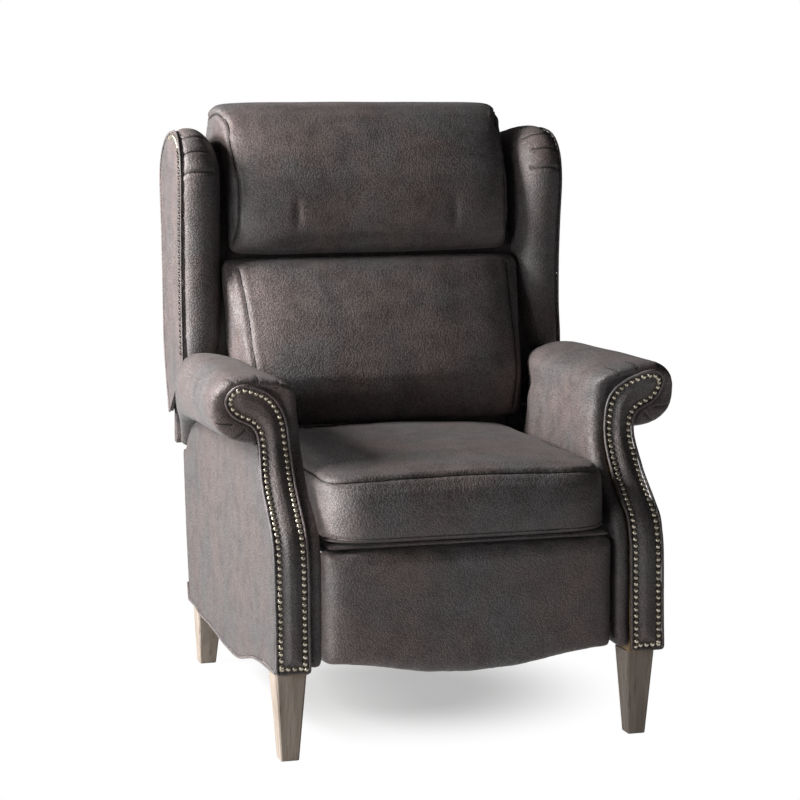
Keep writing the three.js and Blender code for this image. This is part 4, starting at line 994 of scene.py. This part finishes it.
def makeWingSkin():
    loop, _ = outlineOf("wing_outer_panel_right", lambda face: face.normal.x > 0.9)
    skin = skinFrom("wing_outer_panel_right", "wing_outer_leather_right", wingSkinLook)
    top = loop[:, 2].max()
    welt = layTube("wing_welt_right", calm(loop, 2, True), wingSkinLook["weltCord"], True)
    plane = np.stack([loop[:, 1], np.zeros(len(loop)), loop[:, 2]], 1)
    inner = insetLine(plane, wingSkinLook["nailInset"])
    row = closedSteps(calm(inner, 6, True), nailShape["pitch"] * 0.95)
    front = row[:, 0] < wingSkinLook["nailRear"]
    keep = row[front & (row[:, 2] > wingSkinLook["nailFrom"])]
    tree = skinTree(skin)
    spots, ways = [], []
    for y, _, z in keep:
        spot, normal, _, _ = tree.ray_cast(Vector((0.6, y, z)), Vector((-1, 0, 0)))
        if spot is not None and (y < wingSkinLook["frontRear"] or z > top - wingSkinLook["topTall"]):
            spots.append(np.array(spot))
            ways.append(np.array(normal))
    return skin, welt, spots, ways


def dressWings():
    pad, pleats = makeWing()
    skin, welt, spots, ways = makeWingSkin()
    made = [pad, pleats, skin, welt]
    for label, sign in bothSides.items():
        if sign < 0:
            made = [mirroredCopy(part) for part in made]
        roll, folds, outer, cord = made
        dress(roll, leather, "leather", "back", f"wing_pad_{label}")
        dress(folds, seamShadeLeather, "leather", "back")
        dress(outer, leather, "leather", "back", f"wing_outer_panel_{label}")
        dress(cord, weltLeather, "leather", "back")
        mirror = np.array([sign, 1, 1])
        # nails below the top take the darkened brass as painted shade, the top ones the plain brass
        for name, atTop, finish in (("wing_nails", False, shadedBrass), ("wing_top_nails", True, brass)):
            row = [(spot * mirror, way * mirror) for spot, way in zip(spots, ways)
                   if (spot[2] > wingSkinLook["paintedShadeBelow"]) == atTop]
            nailRow(f"{name}_{label}", *zip(*row), "back", finish)


dressWings()
print("wings made")

# Outside back

outsideLook = {
    "voxel": 4.5 * mm, "smooth": 3, "weltCord": 2.4 * mm, "rumple": (1.0 * mm, 0.18, 81),
    "weltInset": 3.2 * mm,  # clears the rear posts on the way back
}


def makeOutsideBack():
    outline, _ = outlineOf("outside_back_panel", lambda face: face.normal.y > 0.5)
    panel = skinFrom("outside_back_panel", "outside_back_leather", outsideLook)
    rumple(panel, outsideLook["rumple"])
    line = insetLine(outline, outsideLook["weltInset"])
    welt = layTube("outside_back_welt", calm(line, 3, True), outsideLook["weltCord"], True)
    dress(panel, leather, "leather", "back", "outside_back_panel")
    dress(welt, weltLeather, "leather", "back")


makeOutsideBack()
print("outside back made")
bpy.data.objects.remove(dome)

# Leather tucked in behind the cushions, and covers on the boards that would show; the tucks and most covers are
# darkened as painted shade of their recesses

tuckLook = {
    "ahead": 4.8 * mm, "thick": 1.4 * mm,
    "pairs": {  # inner and outer X, low and high Z
        "wing_tuck": (0.259, 0.310, 0.600, 1.008),
        "stile_wrap": (0.261, 0.2885, 0.442, 0.600),
        "wing_root": (0.289, 0.336, 0.572, 0.626),
    },
    "cushionGap": (-0.258, 0.258, 0.785, 0.850),
}
coverLook = {"voxel": 4.0 * mm, "smooth": 3}


def makeTuck(name, inner, outer, low, high):
    bpy.ops.object.select_all(action="DESELECT")
    bpy.ops.mesh.primitive_cube_add(size=1)
    tuck = bpy.context.object
    tuck.name = name
    points = readPoints(tuck)
    x = np.where(points[:, 0] > 0, outer, inner)
    z = np.where(points[:, 2] > 0, high, low)
    y = planeY(z) - tuckLook["ahead"] + np.where(points[:, 1] > 0, tuckLook["thick"], 0)
    writePoints(tuck, np.stack([x, y, z], 1))
    dress(tidyShell(tuck), recessShadeLeather, "leather", "back")


def wrapBoard(node, name, finish, body):  # a board in its leather cover
    dress(softened(mergedCopy(node, name), coverLook), finish, "leather", body, node)


def dressBoards():
    for label, sign in bothSides.items():
        for name, (inner, outer, low, high) in tuckLook["pairs"].items():
            makeTuck(f"{name}_{label}", inner * sign, outer * sign, low, high)
        for node in ("back_stile", "back_gusset", "wing_board"):
            wrapBoard(f"{node}_{label}", f"{node}_cover_{label}", recessShadeLeather, "back")
        wrapBoard(f"seat_side_rail_{label}", f"seat_side_rail_cover_{label}", recessShadeLeather, "seat")
    # a dark sheet in the gap between the back and head cushions: painted shade of the gap
    makeTuck("cushion_gap_lining", *tuckLook["cushionGap"])
    wrapBoard("back_lower_rail", "back_lower_rail_cover", recessShadeLeather, "back")
    wrapBoard("back_top_rail", "back_top_rail_cover", leather, "back")
    wrapBoard("seat_front_rail", "seat_nosing_leather", weltLeather, "seat")


dressBoards()
print("boards covered")

# Carried-over solids get their finish, and their edges a small round

bareLook = {"round": 1.2 * mm, "legRound": 3.0 * mm}
bareFinishes = {
    "leg_": (legWood, bareLook["legRound"]),
    "arm_front_post": (frameWood, bareLook["round"]),
    "arm_rear_post": (frameWood, bareLook["round"]),
    "base_rear_rail": (leather, bareLook["round"]),
    "base_": (frameWood, bareLook["round"]),
    "back_hinge": (steel, 0),
    "back_webbing": (webbing, 0),
    "back_": (frameWood, bareLook["round"]),
    "seat_webbing": (webbing, 0),
    "seat_": (frameWood, bareLook["round"]),
    "footrest_board": (frameWood, bareLook["round"]),
    "footrest_bracket": (steel, 0),
}


def dressBare():
    for name, obj in nodes.items():
        if obj.hide_render:
            continue
        finish, edge = next((v for k, v in bareFinishes.items() if name.startswith(k)), (steel, 0))
        if not obj.material_slots:
            obj.data.materials.append(finish)
        for slot in obj.material_slots:
            slot.material = finish
        if edge:
            weld = obj.modifiers.new("Weld", "WELD")
            weld.merge_threshold = mergeWithin
            bevel = obj.modifiers.new("Bevel", "BEVEL")
            bevel.width = edge
            bevel.segments = 2
            bevel.limit_method = "ANGLE"
            bevel.angle_limit = math.radians(30)


dressBare()
print("frame dressed")

# Stage, light and camera

stageLook = {
    "floorSize": 14.0, "floor": 0.95, "bounce": 0.20, "fadeFrom": 0.12, "fadeTo": 0.44, "shade": 0.55,
    "centre": (0.0, 0.0, 0.0), "world": 0.058,
}
lamps = [
    # name, place, aimed at, size, watts, colour: the edge lamp reaches only the pieces in edgeLit
    ("key", (-4.1, -0.05, 1.80), (0.0, 0.0, 0.80), (1.1, 1.0), 175, (1.0, 0.985, 0.975)),
    ("sky", (-1.5, 0.10, 1.42), (-0.1, -0.1, 0.5), (0.5, 0.5), 46, (1.0, 0.99, 0.985)),
    ("front", (-2.3, -1.75, 0.60), (0.0, -0.3, 0.45), (1.0, 1.0), 22, (1.0, 0.99, 0.985)),
    ("edge", (-4.0, -0.75, 0.40), (0.0, -0.3, 0.40), (0.8, 0.5), 118, (1.0, 0.99, 0.985)),
]
edgeLit = ["seat_cushion_leather", "footrest_pad_leather"]
cameraLook = {"place": (-1.3450, -4.5479, 1.1896), "tilt": 82.3712, "turn": -16.5635, "lens": 114.83}


def seenBy(tree, *rays):  # 1 for rays of either kind, and 0 for the rest
    path = addNode(tree, "ShaderNodeLightPath")
    return reckoned(tree, "MAXIMUM", *(path.outputs[ray] for ray in rays))


def makeStage():
    bpy.ops.object.select_all(action="DESELECT")
    bpy.ops.mesh.primitive_circle_add(vertices=96, radius=stageLook["floorSize"] / 2, fill_type="NGON",
                                      location=(0, 0, 0))
    floor = bpy.context.object
    floor.name = "studio_floor"
    material = bpy.data.materials.new("pale_floor")
    tree = emptyTree(material)
    place = addNode(tree, "ShaderNodeTexCoord").outputs["Object"]
    seen = seenBy(tree, "Is Camera Ray", "Is Glossy Ray")
    tone = blended(tree, seen, (stageLook["bounce"],) * 3, (stageLook["floor"],) * 3)
    matt = addNode(tree, "ShaderNodeBsdfDiffuse", {"Color": tone}).outputs["BSDF"]
    glow = addNode(tree, "ShaderNodeEmission", {"Color": (1, 1, 1), "Strength": 1.0}).outputs["Emission"]
    far = addNode(tree, "ShaderNodeVectorMath", {0: place, 1: stageLook["centre"]}, operation="DISTANCE")
    fade = ranged(tree, far.outputs["Value"], stageLook["fadeFrom"], stageLook["fadeTo"],
                  1 - stageLook["shade"], 1, interpolation_type="SMOOTHSTEP")
    mix = addNode(tree, "ShaderNodeMixShader", {0: reckoned(tree, "MULTIPLY", fade, seen), 1: matt, 2: glow})
    addNode(tree, "ShaderNodeOutputMaterial", {"Surface": mix.outputs["Shader"]})
    floor.data.materials.append(material)


def makeWorld():
    world = bpy.data.worlds.new("studio")
    bpy.context.scene.world = world
    tree = emptyTree(world)
    soft, white = (addNode(tree, "ShaderNodeBackground", {"Color": (1, 1, 1), "Strength": strength}).outputs[0]
                   for strength in (stageLook["world"], 1.0))
    seen = seenBy(tree, "Is Camera Ray", "Is Transmission Ray")
    mix = addNode(tree, "ShaderNodeMixShader", {0: seen, 1: soft, 2: white})
    addNode(tree, "ShaderNodeOutputWorld", {"Surface": mix.outputs["Shader"]})


def makeLamps():
    cushions = bpy.data.collections.new("edge_lit")
    for name in edgeLit:
        cushions.objects.link(bpy.data.objects[name])
    for name, place, aim, (wide, tall), watts, colour in lamps:
        light = bpy.data.lights.new(name, "AREA")
        light.shape = "RECTANGLE"
        light.size = wide
        light.size_y = tall
        light.energy = watts
        light.color = colour
        lamp = bpy.data.objects.new(name, light)
        bpy.context.collection.objects.link(lamp)
        lamp.location = place
        lamp.visible_camera = False
        if name == "edge":
            lamp.light_linking.receiver_collection = cushions
            lamp.light_linking.blocker_collection = cushions
        lamp.rotation_euler = (Vector(aim) - Vector(place)).to_track_quat("-Z", "Y").to_euler()


def makeCamera():
    data = bpy.data.cameras.new("photo_view")
    data.lens = cameraLook["lens"]
    data.sensor_width = 36
    data.clip_end = 60
    camera = bpy.data.objects.new("photo_view", data)
    bpy.context.collection.objects.link(camera)
    camera.location = cameraLook["place"]
    camera.rotation_euler = Euler((math.radians(cameraLook["tilt"]), 0, math.radians(cameraLook["turn"])))
    bpy.context.scene.camera = camera


makeStage()
makeWorld()
makeLamps()
makeCamera()
bpy.context.scene.view_settings.view_transform = "Standard"
print("stage ready")
